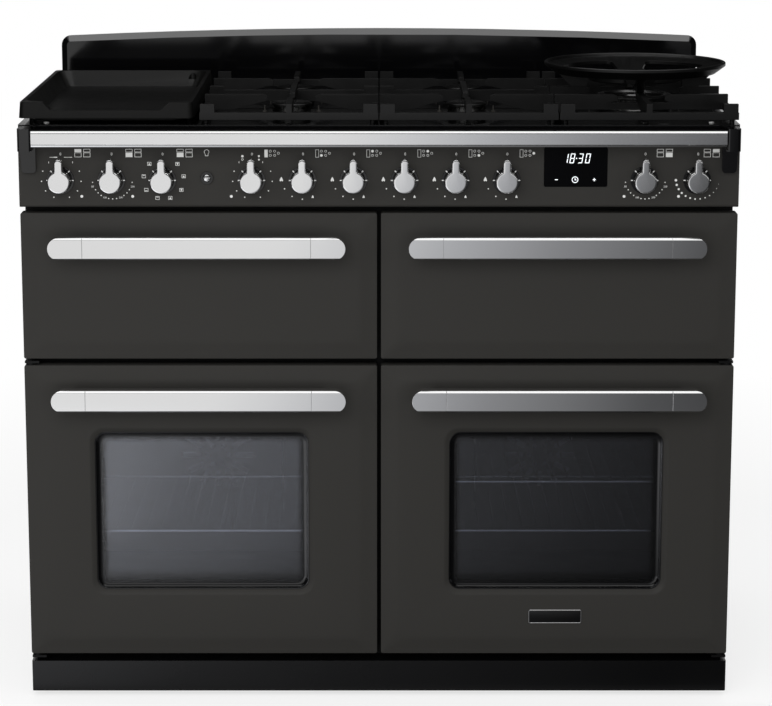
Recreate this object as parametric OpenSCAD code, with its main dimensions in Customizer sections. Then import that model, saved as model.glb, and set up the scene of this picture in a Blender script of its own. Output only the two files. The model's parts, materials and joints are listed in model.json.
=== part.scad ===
/* [Cooker body] */
// Width over the doors, the hob and the plinth
cooker_w = 1092; // [1080:1:1110]
// Depth from the door fronts to the rear edge
cooker_d = 608; // [600:1:640]
// Thickness of the folded steel sheet
sheet = 1.5; // [1:0.1:2]
// Height of the plinth's lower edge above the floor
plinth_lift = 9; // [6:1:20]
// Height of the plinth
plinth_h = 49; // [40:1:70]
// Set-back of the plinth behind the door fronts
plinth_back = 5; // [2:1:10]
// Gap between the plinth and the lower doors
plinth_gap = 12.3; // [11:0.1:16]
// How far the side panels stand inside the door edges
side_inset = 3; // [2:0.5:5]
// Set-back of the rear panel from the rear edge
rear_recess = 18; // [14:1:24]

/* [Doors] */
// Height of the two lower oven doors
lower_door_h = 462.5; // [450:0.5:480]
// Height of the grill door and of the drawer front
upper_door_h = 226.3; // [215:0.1:240]
// Gap between the left and right doors
centre_gap = 6; // [4:0.5:10]
// Gap between the lower doors and the upper doors
door_gap = 10.7; // [10.5:0.1:14]
// Depth of the pressed door front
shell_d = 30; // [28:1:34]
// Depth of a whole door with its inner pan
door_d = 40; // [38:1:44]
// Thickness of the pressed door front
skin = 2; // [1.5:0.1:2.5]
// Width of the sloped border around each door front
border_w = 27; // [20:1:35]
// How far the border falls back at the door edge
border_fall = 6; // [3:0.5:7]
// Corner radius of the raised door field
field_r = 15; // [8:1:25]
// Corner radius of the door outline
door_r = 3; // [1:0.5:5]
// Width of the rim of the inner door pan
pan_rim = 8; // [6:1:12]
// Space between a closed door and the chassis front
seal_space = 4; // [4:0.1:6]

/* [Oven windows] */
// Width of the window opening in the door front
window_w = 346; // [310:1:350]
// Height of the window opening in the door front
window_h = 267; // [230:1:275]
// Height of the window centre above the lower door edge
window_rise = 231.2; // [225:0.1:240]
// Corner radius of the window opening
window_r = 22; // [18:1:28]
// Width of the sloped lip around the glass
window_lip = 15; // [12:1:18]
// Depth of the glass behind the door front
window_depth = 12; // [8:1:14]
// Overlap of the glass behind the lip
glass_overlap = 14; // [10:1:18]
// Thickness of each glass pane
glass_t = 4; // [3:0.5:5]

/* [Door handles] */
// Length of a door handle
handle_len = 450; // [420:1:470]
// Height of the handle bar
handle_h = 33.5; // [28:0.5:35]
// Reach of the handles and the handrail in front of the doors
handle_reach = 45; // [42:1:52]
// Thickness of the handle bar
handle_t = 22; // [18:1:24]
// Length of each cast end piece
handle_end = 52.5; // [45:0.5:60]
// Bevel along the top front edge of a handle
handle_bevel = 3.2; // [2:0.1:5]
// Bevel along the bottom front edge of a handle
handle_under = 2.5; // [1:0.1:4]
// Depth of the handles below the upper door edge
handle_drop = 47.5; // [45:0.5:50]
// Depth of the handles below the lower door edge
handle_drop_low = 46.5; // [44.5:0.5:50]
// Distance from the inner handle end to the cooker's middle
handle_inner = 50.5; // [45:0.5:55]
// Radius of the handle post
post_r = 12; // [9:0.5:14]

/* [Hinges] */
// Radius of the oven door hinge pins
pin_r = 4; // [3:0.5:4.5]
// Radial clearance of a pin in its bore
pin_play = 0.05; // [0.02:0.01:0.1]
// Distance of the pin axis from the door edge
pin_edge = 9; // [8.5:0.5:10]
// Distance of the pin axis behind the door front
pin_back = 14; // [13:0.5:15]
// Depth of a hinge pin in the door
pin_depth = 18; // [14:1:22]
// Height of the grill door axis above its lower edge
drop_axis = 12.5; // [12:0.5:14]
// Radius of the grill door hinge pins
drop_pin_r = 3.5; // [3:0.1:4]
// Radius of the knuckle on each grill door hinge arm
knuckle_r = 5.5; // [5:0.1:5.8]
// Thickness of a hinge arm
arm_t = 6; // [4:0.5:8]

/* [Ovens] */
// Width of an oven cavity
oven_w = 430; // [400:1:440]
// Height of an oven cavity
oven_h = 365; // [340:1:375]
// Depth of an oven cavity
oven_d = 430; // [400:1:450]
// Height of the oven floor above the lower door edge
oven_rise = 36; // [30:1:45]
// Width of the flange around each cavity
flange_w = 18; // [14:1:20]
// Width of the door seals
seal_w = 8; // [6:0.5:10]
// Diameter of the oven wires
wire_d = 5; // [4:0.5:6]
// Wires across each shelf
shelf_wires = 19; // [11:2:25]
// Rungs on each side ladder
ladder_rungs = 7; // [5:1:7]
// Height between two rungs
rung_pitch = 40; // [36:1:44]
// Radius of the fan wheel
fan_r = 62; // [50:1:70]
// Blades on the fan wheel
fan_blades = 14; // [8:1:20]
// Width of the fan cover
cover_w = 220; // [200:1:240]
// Depth of the fan cover
cover_d = 46; // [44:1:60]

/* [Grill and drawer] */
// Height of the grill cavity
grill_h = 150; // [130:1:158]
// Depth of the grill cavity
grill_d = 400; // [380:1:430]
// Height of the grill cavity above the upper door edge
grill_rise = 42; // [40:1:46]
// Height of the grill pan
grill_pan_h = 32; // [25:1:45]
// Height of the warming drawer box
drawer_h = 140; // [110:1:160]
// Depth of the warming drawer box
drawer_d = 430; // [420:1:450]
// Width of the warming drawer box
drawer_w = 428; // [410:1:432]
// Travel of the warming drawer
drawer_travel = 400; // [350:10:400]
// Height of the drawer runners
runner_h = 30; // [24:1:36]

/* [Control panel] */
// Height of the control panel
panel_h = 115.6; // [112:0.1:125]
// Gap between the upper doors and the control panel
panel_gap = 9.6; // [8:0.1:12]
// Height of the knob axes above the panel's lower edge
knob_rise = 41.6; // [40:0.1:45]
// Distance between neighbouring knobs
knob_pitch = 77.3; // [72:0.1:80]
// Distance from the panel's left end to the first knob
left_knob_edge = 63; // [60:0.5:66]
// Distance from the panel's right end to the last knob
right_knob_edge = 64; // [60:0.5:68]
// Distance between the two right-hand knobs
right_pitch = 79.7; // [76:0.1:82]
// Radius of a knob
knob_r = 16.7; // [14:0.1:17]
// Distance from the knob axis to the tip of its pointer
pointer_reach = 34.6; // [28:0.1:35]
// Width of the knob pointer
pointer_w = 12; // [8:0.5:14]
// Reach of the knobs in front of the panel
knob_depth = 30; // [24:1:34]
// Thickness of the metal knob face
knob_face = 15; // [10:1:16]
// Outer radius of the ring behind each knob
bezel_r = 21; // [19.5:0.1:24]
// Thickness of the ring behind each knob
bezel_t = 2.5; // [1.5:0.1:4]
// Radius of the knob spindles
spindle_r = 3; // [2.5:0.1:4]
// Radius of the light button
button_r = 5.5; // [4.5:0.1:6]
// Travel of the light button
button_travel = 2.5; // [1.5:0.1:3]
// Width of the clock window
display_w = 96.3; // [90:0.1:104]
// Height of the clock window
display_h = 61.3; // [50:0.1:62]
// Distance of the clock window from the cooker's middle
display_x = 298; // [296:1:300]
// Height of the clock window above the panel's lower edge
display_rise = 31.3; // [28:0.1:34]

/* [Handrail] */
// Distance of each handrail end from the cooker's side
rail_end = 25; // [24:0.5:31]
// Height of the handrail tube
rail_h = 23.5; // [20:0.5:25]
// Thickness of the handrail tube
rail_t = 20; // [16:1:22]
// Distance of the handrail top below the hob surface
rail_drop = 4.5; // [4:0.5:8]
// Bevel along the top front edge of the handrail
rail_bevel = 2.5; // [1.5:0.1:4]
// Bevel along the bottom front edge of the handrail
rail_under = 2.5; // [1.5:0.1:4]
// Height of the leg of a handrail bracket below the hob surface
bracket_leg = 72; // [65:1:80]
// Thickness of the bracket leg on the panel
bracket_t = 8; // [6:0.5:10]

/* [Hob] */
// Height of the hob's folded edge
hob_lip = 10; // [8:0.5:14]
// Thickness of the hob sheet
hob_t = 2; // [1.5:0.1:3]
// Corner radius of the hob
hob_r = 6; // [3:1:12]
// Distance of the front burners behind the door fronts
front_burner_y = 154; // [150:1:160]
// Distance of the rear burners behind the door fronts
rear_burner_y = 391; // [380:1:400]
// Distance of the wok burner behind the door fronts
wok_burner_y = 271; // [265:1:277]
// Radius of the four round burner caps
cap_r = 32; // [26:0.5:34]
// Thickness of the burner caps
cap_t = 6; // [4:0.5:8]
// Height of a burner crown above its base plate
crown_h = 10; // [8:0.5:12]
// Flame ports around a round burner
port_count = 24; // [12:2:30]
// Outer radius of the wok burner
wok_burner_r = 62; // [54:1:64]
// Height of the backguard above the hob at its ends
guard_end_h = 81; // [60:1:100]
// Extra height of the backguard in its middle
guard_arch = 13; // [5:1:20]
// Thickness of the backguard
guard_t = 10; // [9:0.5:12]
// Width of the bevel around the backguard
guard_bevel = 10; // [6:0.5:12]

/* [Pan supports and griddle] */
// Distance of the pan supports behind the door fronts
support_front = 12; // [8:1:16]
// Length of the pan supports from front to back
support_len = 495; // [485:1:500]
// Gap between neighbouring pan supports
support_gap = 2; // [1:0.5:4]
// Thickness of the pan support bars
bar_t = 9; // [7:0.5:10]
// Height of the pan support frame
frame_h = 11; // [9:0.5:12]
// Height of the feet under the pan supports
foot_clear = 6; // [4:0.5:8]
// Height of the pan rest above the hob surface
rest_h = 30; // [28:0.5:34]
// Clear radius around the round burners
finger_clear = 37; // [35:0.5:44]
// Outer radius of the wok ring
wok_ring_r = 144.5; // [135:0.5:146]
// Inner radius of the wok ring
wok_ring_in = 62; // [55:0.5:70]
// Height of the wok ring's inner edge above the pan rest
wok_ring_foot = 10; // [7:0.5:14]
// Height of the sloped wok seat
wok_seat_h = 30; // [24:0.5:32]
// Length of the griddle from front to back
griddle_len = 485; // [470:1:500]
// Height of the griddle rim above the hob surface
griddle_rim = 33; // [28:0.5:36]
// Width of the flared griddle wall
griddle_wall = 20; // [16:1:22]
// Depth of the dip in the front wall of the griddle
griddle_dip = 12; // [8:0.5:16]
// Thickness of the griddle floor
griddle_floor = 5; // [4:0.5:7]

/* [Hidden] */
$fn = 48;
eps = 0.01;
hull_fn = 32;
// small space between a sliding or seated piece and its neighbour
fit = 0.3;
// hairline seam between two pieces that butt together
seam = 0.1;
// widths and heights that follow from the body
half_w = cooker_w / 2;
door_w = (cooker_w - centre_gap) / 2;
door_cx = (centre_gap + door_w) / 2;
side_out = half_w - side_inset;
side_in = side_out - sheet;
rail_len = cooker_w - 2 * rail_end;
body_z = plinth_lift + plinth_h;
lower_z = body_z + plinth_gap;
lower_top = lower_z + lower_door_h;
upper_z = lower_top + door_gap;
upper_top = upper_z + upper_door_h;
panel_z = upper_top + panel_gap;
panel_top = panel_z + panel_h;
hob_z = panel_top + hob_lip;
lower_mid = (lower_z + lower_top) / 2;
upper_mid = (upper_z + upper_top) / 2;
frame_y = door_d + seal_space;
behind_frame = frame_y + sheet;
rear_y = cooker_d - rear_recess;
zone_w = cooker_w / 4;
wok_x = 1.5 * zone_w;
// the origin lies on the floor under the middle of the whole outline
centre_x = -(max(half_w, wok_x + wok_ring_r) - half_w) / 2;
centre_y = -(cooker_d - handle_reach) / 2;
// oven, grill and drawer places
oven_z = lower_z + oven_rise;
oven_mid = oven_z + oven_h / 2;
oven_back = frame_y + oven_d;
fan_y = oven_back - cover_d + 12;
shaft_r = 4;
shaft_in = 34;
grill_z = upper_z + grill_rise;
grill_w = oven_w;
shelf_z = upper_z - 4;
drawer_z = upper_z + 34;
window_dz = window_rise - lower_door_h / 2;
pane_w = window_w - 2 * window_lip + 2 * glass_overlap;
pane_h = window_h - 2 * window_lip + 2 * glass_overlap;
arm_offset = 225;
// control places
rail_pin_r = 6;
knob_z = panel_z + knob_rise;
left_x = -half_w + left_knob_edge;
right_x = half_w - right_knob_edge;
burner_x = -2.5 * knob_pitch;
electric_knobs = [left_x, left_x + knob_pitch, left_x + 2 * knob_pitch, burner_x,
    right_x - right_pitch, right_x];
gas_knobs = [for (i = [1 : 5]) burner_x + i * knob_pitch];
button_x = (left_x + 2 * knob_pitch + burner_x) / 2;
button_z = knob_z + 3.5;
button_back = 11.5;
bore_r = spindle_r + pin_play;
spindle_in = 32;
tap_front = 8;
tap_w = 28;
neck_r = 8;
switch_w = 32;
rail_y = 66;
gas_pipe_r = 9;
inlet_r = 10.5;
inlet_x = side_in - 22;
gland_x = -side_in + 120;
gland_z = body_z + 140;
gland_r = 10;
// hob places
base_t = 3;
throat_r = cap_r - 4;
wok_throat_r = wok_burner_r - 12;
wok_cap_r = 20;
spark_r = 3.5;
spark_play = 0.2;
burners = [for (x = [-0.5, 0.5]) for (y = [front_burner_y, rear_burner_y]) [x * zone_w, y]];
glass_w = 230;
glass_len = 450;
glass_y = 30;
support_w = zone_w - support_gap;
rest_z = hob_z + rest_h;
bar_z = hob_z + foot_clear;
frame_top = bar_z + frame_h;
griddle_draft = 2;
griddle_w = zone_w - 12;
griddle_x = -half_w + griddle_w / 2 + griddle_draft + 0.5;
griddle_y = 10;
griddle_top = hob_z + griddle_rim;
griddle_skirt = hob_z + 9;

// every piece is drawn from the middle of the door fronts and set over the origin here
module place() {
    translate([centre_x, centre_y, 0]) children();
}

module block(x, y, z) {
    translate([x[0], y[0], z[0]]) cube([x[1] - x[0], y[1] - y[0], z[1] - z[0]]);
}

module round_rect(w, h, r) {
    square([w - 2 * r, h], center = true);
    square([w, h - 2 * r], center = true);
    for (x = [-1, 1])
        for (y = [-1, 1])
            translate([x * (w / 2 - r), y * (h / 2 - r)]) circle(r);
}

// upright plate that reaches from y = 0 back to y = t
module face_plate(w, h, r, t) {
    rotate([90, 0, 0]) translate([0, 0, -t]) linear_extrude(t) round_rect(w, h, r);
}

// lying plate that reaches up from z = 0
module flat_plate(w, d, r, t) {
    linear_extrude(t) round_rect(w, d, r);
}

// round bar along the depth of the cooker
module rod_y(r, y) {
    translate([0, y[1], 0]) rotate([90, 0, 0]) cylinder(r = r, h = y[1] - y[0]);
}

module rod_x(r, x) {
    translate([x[0], 0, 0]) rotate([0, 90, 0]) cylinder(r = r, h = x[1] - x[0]);
}

// prism along x whose outline is drawn as depth and height
module prism_x(x0, x1) {
    translate([x0, 0, 0]) rotate([90, 0, 90]) linear_extrude(x1 - x0) children();
}

module frame_opening(cx, w, z, h) {
    block([cx - w / 2, cx + w / 2], [frame_y - 1, behind_frame + 1], [z, z + h]);
}

module chassis() {
    liner_w = oven_w + 2 * sheet + fit;
    well = drawer_w / 2 + 19;
    color("dimgray") place() {
        difference() {
            block([-side_in, side_in], [frame_y, behind_frame], [body_z, panel_top]);
            for (s = [-1, 1])
                frame_opening(s * door_cx, liner_w, oven_z - sheet - fit / 2, oven_h + 2 * sheet + fit);
            frame_opening(-door_cx, liner_w, grill_z - sheet - fit / 2, grill_h + 2 * sheet + fit);
            frame_opening(door_cx, drawer_w + 14, drawer_z - 8, drawer_h + 16);
            frame_opening(0, 2 * side_in - 24, panel_z + 12, panel_h - 30);
        }
        block([-side_in, side_in], [frame_y, rear_y], [body_z, body_z + sheet]);
        block([-sheet, sheet], [frame_y, rear_y], [body_z, panel_z]);
        block([-side_in, side_in], [frame_y, rear_y - 30], [shelf_z - sheet, shelf_z]);
        for (s = [-1, 1])
            block([door_cx + s * well - sheet / 2, door_cx + s * well + sheet / 2],
                [frame_y, frame_y + drawer_d + 30], [shelf_z - sheet, upper_top]);
        difference() {
            for (s = [0, 1]) mirror([s, 0, 0])
                block([side_in - 36, side_in], [rear_y - sheet, rear_y], [body_z, panel_top]);
            translate([inlet_x, 0, knob_z]) rod_y(gas_pipe_r + fit, [rear_y - 3, rear_y + 1]);
        }
        block([-side_in, side_in], [rear_y - 24, rear_y], [panel_top - 20, panel_top]);
        block([-side_in, side_in], [frame_y, frame_y + 8], [panel_top - sheet, panel_top]);
    }
}

module side_panels() {
    color("black") place()
        for (s = [-1, 1])
            block([min(s * side_in, s * side_out), max(s * side_in, s * side_out)],
                [frame_y, cooker_d], [body_z, panel_top]);
}

module rear_panel() {
    color("gainsboro") place() difference() {
        union() {
            block([-side_in, side_in], [rear_y, rear_y + sheet], [body_z, panel_top]);
            translate([gland_x, 0, gland_z]) rod_y(gland_r + 6, [rear_y, rear_y + 10]);
        }
        translate([inlet_x, 0, knob_z]) rod_y(gas_pipe_r + fit, [rear_y - 1, cooker_d]);
        translate([gland_x, 0, gland_z]) rod_y(gland_r, [rear_y - 1, cooker_d]);
        for (x = [-1, 1])
            for (row = [0 : 5])
                for (column = [-3 : 3])
                    translate([x * door_cx + column * 34, rear_y - 1, body_z + 220 + row * 14])
                        cube([26, sheet + 2, 5]);
    }
}

module plinth() {
    side_len = 60;
    color("black") place() difference() {
        translate([0, plinth_back + side_len / 2, plinth_lift]) flat_plate(cooker_w, side_len, 3, plinth_h);
        block([-half_w + sheet, half_w - sheet], [plinth_back + sheet, plinth_back + side_len + 1],
            [plinth_lift - 1, body_z - sheet]);
    }
}

module levelling_feet() {
    color("silver") place()
        for (x = [-1, 1])
            for (y = [frame_y + 40, rear_y - 45])
                translate([x * (half_w - 60), y, 0]) {
                    cylinder(r = 20, h = 8);
                    cylinder(r = 11, h = 16, $fn = 6);
                    cylinder(r = 6, h = body_z);
                }
}

module burner_hole(r) {
    translate([0, 0, hob_z - hob_lip]) cylinder(r = r, h = hob_lip + 1);
}

module hob_tray() {
    inner_w = cooker_w - 2 * hob_t;
    inner_d = cooker_d - 2 * hob_t;
    color("black") place() difference() {
        union() {
            difference() {
                translate([0, cooker_d / 2, panel_top]) flat_plate(cooker_w, cooker_d, hob_r, hob_lip);
                translate([0, cooker_d / 2, panel_top + sheet])
                    flat_plate(inner_w, inner_d, hob_r - 2, hob_lip - hob_t - sheet);
                translate([0, cooker_d / 2, panel_top - 1])
                    flat_plate(inner_w - 30, inner_d - 30, hob_r - 2, hob_lip / 2);
            }
            translate([-wok_x, glass_y + glass_len / 2, hob_z - 5.5])
                flat_plate(glass_w + 20, glass_len + 20, 8, 4);
        }
        translate([-wok_x, glass_y + glass_len / 2, hob_z - 4]) flat_plate(glass_w, glass_len, 5, 5);
        translate([-wok_x, glass_y + glass_len / 2, hob_z - 8])
            flat_plate(glass_w - 16, glass_len - 16, 5, 9);
        for (b = burners)
            translate([b[0], b[1], 0]) {
                burner_hole(throat_r + 1);
                for (s = [-1, 1]) translate([s * (cap_r + 10), 0, 0]) burner_hole(spark_r + spark_play);
            }
        translate([wok_x, wok_burner_y, 0]) {
            burner_hole(wok_throat_r + 1);
            for (s = [-1, 1])
                translate([s * (wok_burner_r + 10), 0, 0]) burner_hole(spark_r + spark_play);
        }
    }
}

module hotplate_glass() {
    color([0.05, 0.05, 0.06]) place()
        translate([-wok_x, glass_y + glass_len / 2, hob_z - 4])
            flat_plate(glass_w - 2 * fit, glass_len - 2 * fit, 5, 4);
}

// tube that runs back and forth under the roof of the grill cavity
module grill_element(cx) {
    tube_r = 3.2;
    step = 34;
    near = frame_y + 40;
    far = frame_y + grill_d - 50;
    turns = 5;
    translate([cx, 0, grill_z + grill_h - 16]) {
        for (i = [0 : turns])
            translate([(i - turns / 2) * step, 0, 0])
                rod_y(tube_r, [near, i == 0 || i == turns ? frame_y + grill_d : far]);
        for (i = [0 : turns - 1])
            translate([(i - turns / 2 + 0.5) * step, i % 2 == 0 ? near : far, 0])
                rotate([0, 0, i % 2 == 0 ? 180 : 0])
                    rotate_extrude(angle = 180) translate([step / 2, 0]) circle(tube_r);
    }
}

module fan_element(cx) {
    ring_r = fan_r + 20;
    translate([cx, fan_y + 12, oven_mid]) {
        rotate([90, 0, 0]) rotate_extrude() translate([ring_r, 0]) circle(3.5);
        for (s = [-1, 1])
            translate([s * 12, 0, -ring_r]) rod_y(3.2, [0, oven_back - fan_y - 12]);
    }
}

module heating_elements() {
    color("darkslategray") place() {
        for (y = [0.25, 0.75])
            translate([-wok_x, glass_y + y * glass_len, hob_z - 20]) difference() {
                cylinder(r = 88, h = 16 - fit);
                translate([0, 0, 3]) cylinder(r = 84, h = 16);
            }
        for (s = [-0.5, 0.5]) grill_element(-door_cx + s * oven_w * 0.46);
        for (s = [-1, 1]) fan_element(s * door_cx);
    }
}

function arch_point(t, inset) = let (r = (pow(half_w, 2) + pow(guard_arch, 2)) / (2 * guard_arch),
    x = t * (half_w - 17)) [x, guard_end_h + guard_arch - inset - (r - sqrt(r * r - x * x))];

// outline of the backguard: level base, short upright ends and a low arch on top
module guard_outline(inset) {
    corner = 17 - inset;
    top = guard_end_h + 1;
    steps = 12;
    polygon(concat([[half_w - inset, 0]],
        [for (a = [0 : 15 : 75]) [half_w - 17 + corner * cos(a), top - 17 + corner * sin(a)]],
        [for (i = [steps : -1 : -steps]) arch_point(i / steps, inset)],
        [for (a = [105 : 15 : 180]) [-half_w + 17 + corner * cos(a), top - 17 + corner * sin(a)]],
        [[-half_w + inset, 0]]));
}

module guard_layer(inset, y, t) {
    translate([0, y + t, hob_z]) rotate([90, 0, 0]) linear_extrude(t) guard_outline(inset);
}

module backguard() {
    front = cooker_d - guard_t;
    color("black") place() difference() {
        hull() {
            guard_layer(0, cooker_d - 1, 1);
            guard_layer(guard_bevel, front, 1);
        }
        hull() {
            guard_layer(skin, cooker_d + 0.5, 1);
            guard_layer(guard_bevel + skin, front + skin, 1);
        }
    }
}

// open crown with a ring of flame ports
module burner_crown(r_out, r_in, ports) {
    difference() {
        cylinder(r = r_out, h = crown_h);
        translate([0, 0, base_t]) cylinder(r = r_in, h = crown_h);
        for (i = [0 : ports - 1])
            rotate([0, 0, (i + 0.5) * 360 / ports])
                translate([(r_out + r_in) / 2, -1, crown_h - 4]) cube([r_out, 2, 5]);
    }
}

module burner_heads() {
    flange = 4;
    throat = 24;
    wok_throat = 28;
    centre_r = wok_cap_r - 2;
    color("silver") place() {
        for (b = burners)
            translate([b[0], b[1], hob_z]) {
                cylinder(r = cap_r + flange, h = base_t);
                translate([0, 0, -throat]) cylinder(r = throat_r, h = throat + 1);
                translate([0, 0, base_t]) burner_crown(cap_r - 2, cap_r - 10, port_count);
            }
        translate([wok_x, wok_burner_y, hob_z]) {
            cylinder(r = wok_burner_r + flange, h = base_t);
            translate([0, 0, -wok_throat]) cylinder(r = wok_throat_r, h = wok_throat + 1);
            translate([0, 0, base_t]) difference() {
                burner_crown(wok_burner_r - 1, wok_burner_r - 8, 2 * port_count);
                translate([0, 0, -eps]) cylinder(r = wok_burner_r - 18, h = crown_h + 1);
            }
            translate([0, 0, base_t - eps]) cylinder(r = wok_throat_r, h = base_t);
            translate([0, 0, base_t]) burner_crown(centre_r, centre_r - 8, 16);
        }
    }
}

module cap_disc(r) {
    rotate_extrude()
        polygon([[0, 0], [r - 1.5, 0], [r, 1.5], [r, cap_t * 0.55], [r * 0.88, cap_t * 0.92], [r * 0.7, cap_t],
            [0, cap_t]]);
}

module burner_caps() {
    color([0.1, 0.1, 0.1]) place() {
        for (b = burners)
            translate([b[0], b[1], hob_z + base_t + crown_h]) cap_disc(cap_r);
        translate([wok_x, wok_burner_y, hob_z + base_t + crown_h]) {
            cap_disc(wok_cap_r);
            rotate_extrude()
                polygon([[wok_burner_r - 16, 0], [wok_burner_r + 1, 0], [wok_burner_r + 1, cap_t * 0.5],
                    [wok_burner_r - 4, cap_t * 0.9], [wok_burner_r - 12, cap_t * 0.9],
                    [wok_burner_r - 16, cap_t * 0.4]]);
        }
    }
}

module spark_plug() {
    below = 22;
    above = 4;
    translate([0, 0, hob_z - below]) cylinder(r = spark_r, h = below + above);
    translate([0, 0, hob_z]) cylinder(r = spark_r / 3, h = base_t + crown_h - 1);
}

module igniters() {
    color("white") place() {
        for (b = burners)
            for (s = [-1, 1]) translate([b[0] + s * (cap_r + 10), b[1], 0]) spark_plug();
        for (s = [-1, 1])
            translate([wok_x + s * (wok_burner_r + 10), wok_burner_y, 0]) spark_plug();
    }
}

module gas_rail() {
    bend = 24;
    start = gas_knobs[0] - knob_pitch * 0.4;
    half = tap_w / 2;
    color("goldenrod") place() {
        translate([0, rail_y, knob_z]) rod_x(gas_pipe_r, [start, inlet_x - bend]);
        translate([inlet_x - bend, rail_y + bend, knob_z]) rotate([0, 0, -90])
            rotate_extrude(angle = 90) translate([bend, 0]) circle(gas_pipe_r);
        translate([inlet_x, 0, knob_z]) {
            rod_y(gas_pipe_r, [rail_y + bend, rear_y + sheet + 2]);
            rod_y(inlet_r, [rear_y + sheet + 1, cooker_d]);
        }
        for (x = gas_knobs)
            translate([x, 0, knob_z]) difference() {
                union() {
                    block([-half, half], [tap_front + 12, rail_y - gas_pipe_r + 0.5], [-half, half]);
                    rod_y(neck_r, [tap_front, tap_front + 13]);
                }
                rod_y(bore_r, [tap_front - 1, spindle_in + 1]);
            }
    }
}

module switches_and_clock() {
    switch_front = button_back + button_travel + 0.5;
    edge = 3;
    color("darkslateblue") place() {
        for (x = electric_knobs)
            translate([x, 0, knob_z]) difference() {
                union() {
                    block([-switch_w / 2, switch_w / 2], [tap_front + 4, spindle_in + 6],
                        [-switch_w / 2, switch_w / 2]);
                    rod_y(neck_r, [skin, tap_front + 5]);
                }
                rod_y(bore_r, [0, spindle_in + 1]);
            }
        translate([button_x, 0, button_z]) difference() {
            union() {
                block([-switch_w / 4, switch_w / 4], [switch_front, spindle_in], [-switch_w / 3, switch_w / 3]);
                rod_y(button_r + 3, [skin, switch_front + 1]);
            }
            rod_y(button_r + fit, [0, switch_front]);
        }
        block([display_x - display_w / 2 + edge, display_x + display_w / 2 - edge], [skin + 0.4, spindle_in],
            [panel_z + display_rise + edge, panel_z + display_rise + display_h - edge]);
    }
}

module control_panel() {
    edge_r = 5;
    color("dimgray") place() difference() {
        prism_x(-half_w, half_w) {
            translate([edge_r, edge_r + panel_z]) circle(edge_r);
            translate([0, panel_z + edge_r]) square([frame_y, panel_h - edge_r]);
            translate([edge_r, panel_z]) square([frame_y - edge_r, panel_h]);
        }
        block([-half_w + skin, half_w - skin], [skin, frame_y + 1], [panel_z + skin, panel_top - skin]);
        for (x = concat(electric_knobs, gas_knobs))
            translate([x, 0, knob_z]) rod_y(spindle_r + 1.5, [-1, skin + 1]);
        translate([button_x, 0, button_z]) rod_y(button_r + fit, [-1, skin + 1]);
        translate([display_x, -1, panel_z + display_rise + display_h / 2])
            face_plate(display_w, display_h, 3, skin + 2);
    }
}

module display_glass() {
    color([0.02, 0.02, 0.02]) place()
        translate([display_x, -0.6, panel_z + display_rise + display_h / 2])
            face_plate(display_w - 0.4, display_h - 0.4, 3, skin + 1);
}

module handrail() {
    top = hob_z - rail_drop;
    low = top - rail_h;
    front = -handle_reach;
    groove_w = 1.2;
    groove_y = front + 0.8;
    face_top = top - rail_bevel - groove_w;
    face_low = low + rail_under + groove_w;
    color("whitesmoke") place() difference() {
        prism_x(-rail_len / 2, rail_len / 2)
            polygon([[front, top - rail_bevel], [front + rail_bevel, top], [front + rail_t, top],
                [front + rail_t, low], [groove_y + rail_under, low], [groove_y, low + rail_under],
                [groove_y + 0.8, low + rail_under], [groove_y + 0.8, face_low], [front, face_low],
                [front, face_top], [groove_y, face_top], [groove_y, top - rail_bevel]]);
        for (s = [-1, 1])
            translate([s * rail_len / 2, front + rail_t / 2, top - rail_h / 2])
                rod_x(rail_pin_r + seam, [-14, 14]);
    }
}

// outline of a bracket leg seen from the front, outer side to the left
module bracket_outline(foot_r) {
    top = hob_z - 2;
    bottom = hob_z - bracket_leg;
    outer = -half_w + 2.5;
    taper = 3;
    inner = -rail_len / 2 + 2;
    polygon(concat([[inner, top], [outer, top], [outer, top - 16]],
        [for (a = [180 : 15 : 270])
            [outer + taper + foot_r * (1 + cos(a)), bottom + foot_r * (1 + sin(a))]],
        [for (a = [270 : 15 : 360])
            [inner - foot_r * (1 - cos(a)), bottom + foot_r * (1 + sin(a))]]));
}

module handrail_brackets() {
    rail_mid = hob_z - rail_drop - rail_h / 2;
    arm_h = 34;
    arm_w = rail_end - 4;
    arm_len = handle_reach - 1;
    color([0.12, 0.12, 0.12]) place()
        for (s = [0, 1]) mirror([s, 0, 0]) {
            rotate([90, 0, 0]) linear_extrude(bracket_t) bracket_outline(5);
            translate([-(rail_len + arm_w) / 2, -arm_len / 2, hob_z - arm_h - 1])
                flat_plate(arm_w, arm_len, 5, arm_h);
            translate([-rail_len / 2, -handle_reach + rail_t / 2, rail_mid]) rod_x(rail_pin_r, [-1, 12]);
        }
}

module knob_bezels() {
    color("black") place() {
        for (x = concat(electric_knobs, gas_knobs))
            translate([x, 0, knob_z]) difference() {
                rod_y(bezel_r, [-bezel_t, 0]);
                rod_y(knob_r + 0.8, [-bezel_t - 1, 1]);
            }
        translate([button_x, 0, button_z]) difference() {
            rod_y(button_r + 4, [-3, 0]);
            rod_y(button_r + fit, [-4, 1]);
        }
    }
}

// flange at the front and a box with a closed back, open towards the door
module cavity_liner(cx, w, z, h, d) {
    difference() {
        union() {
            translate([cx, frame_y - sheet, z + h / 2])
                face_plate(w + 2 * flange_w, h + 2 * flange_w, 6, sheet);
            block([cx - w / 2 - sheet, cx + w / 2 + sheet], [frame_y - sheet / 2, frame_y + d + sheet],
                [z - sheet, z + h + sheet]);
        }
        block([cx - w / 2, cx + w / 2], [frame_y - sheet - 1, frame_y + d], [z, z + h]);
    }
}

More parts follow.
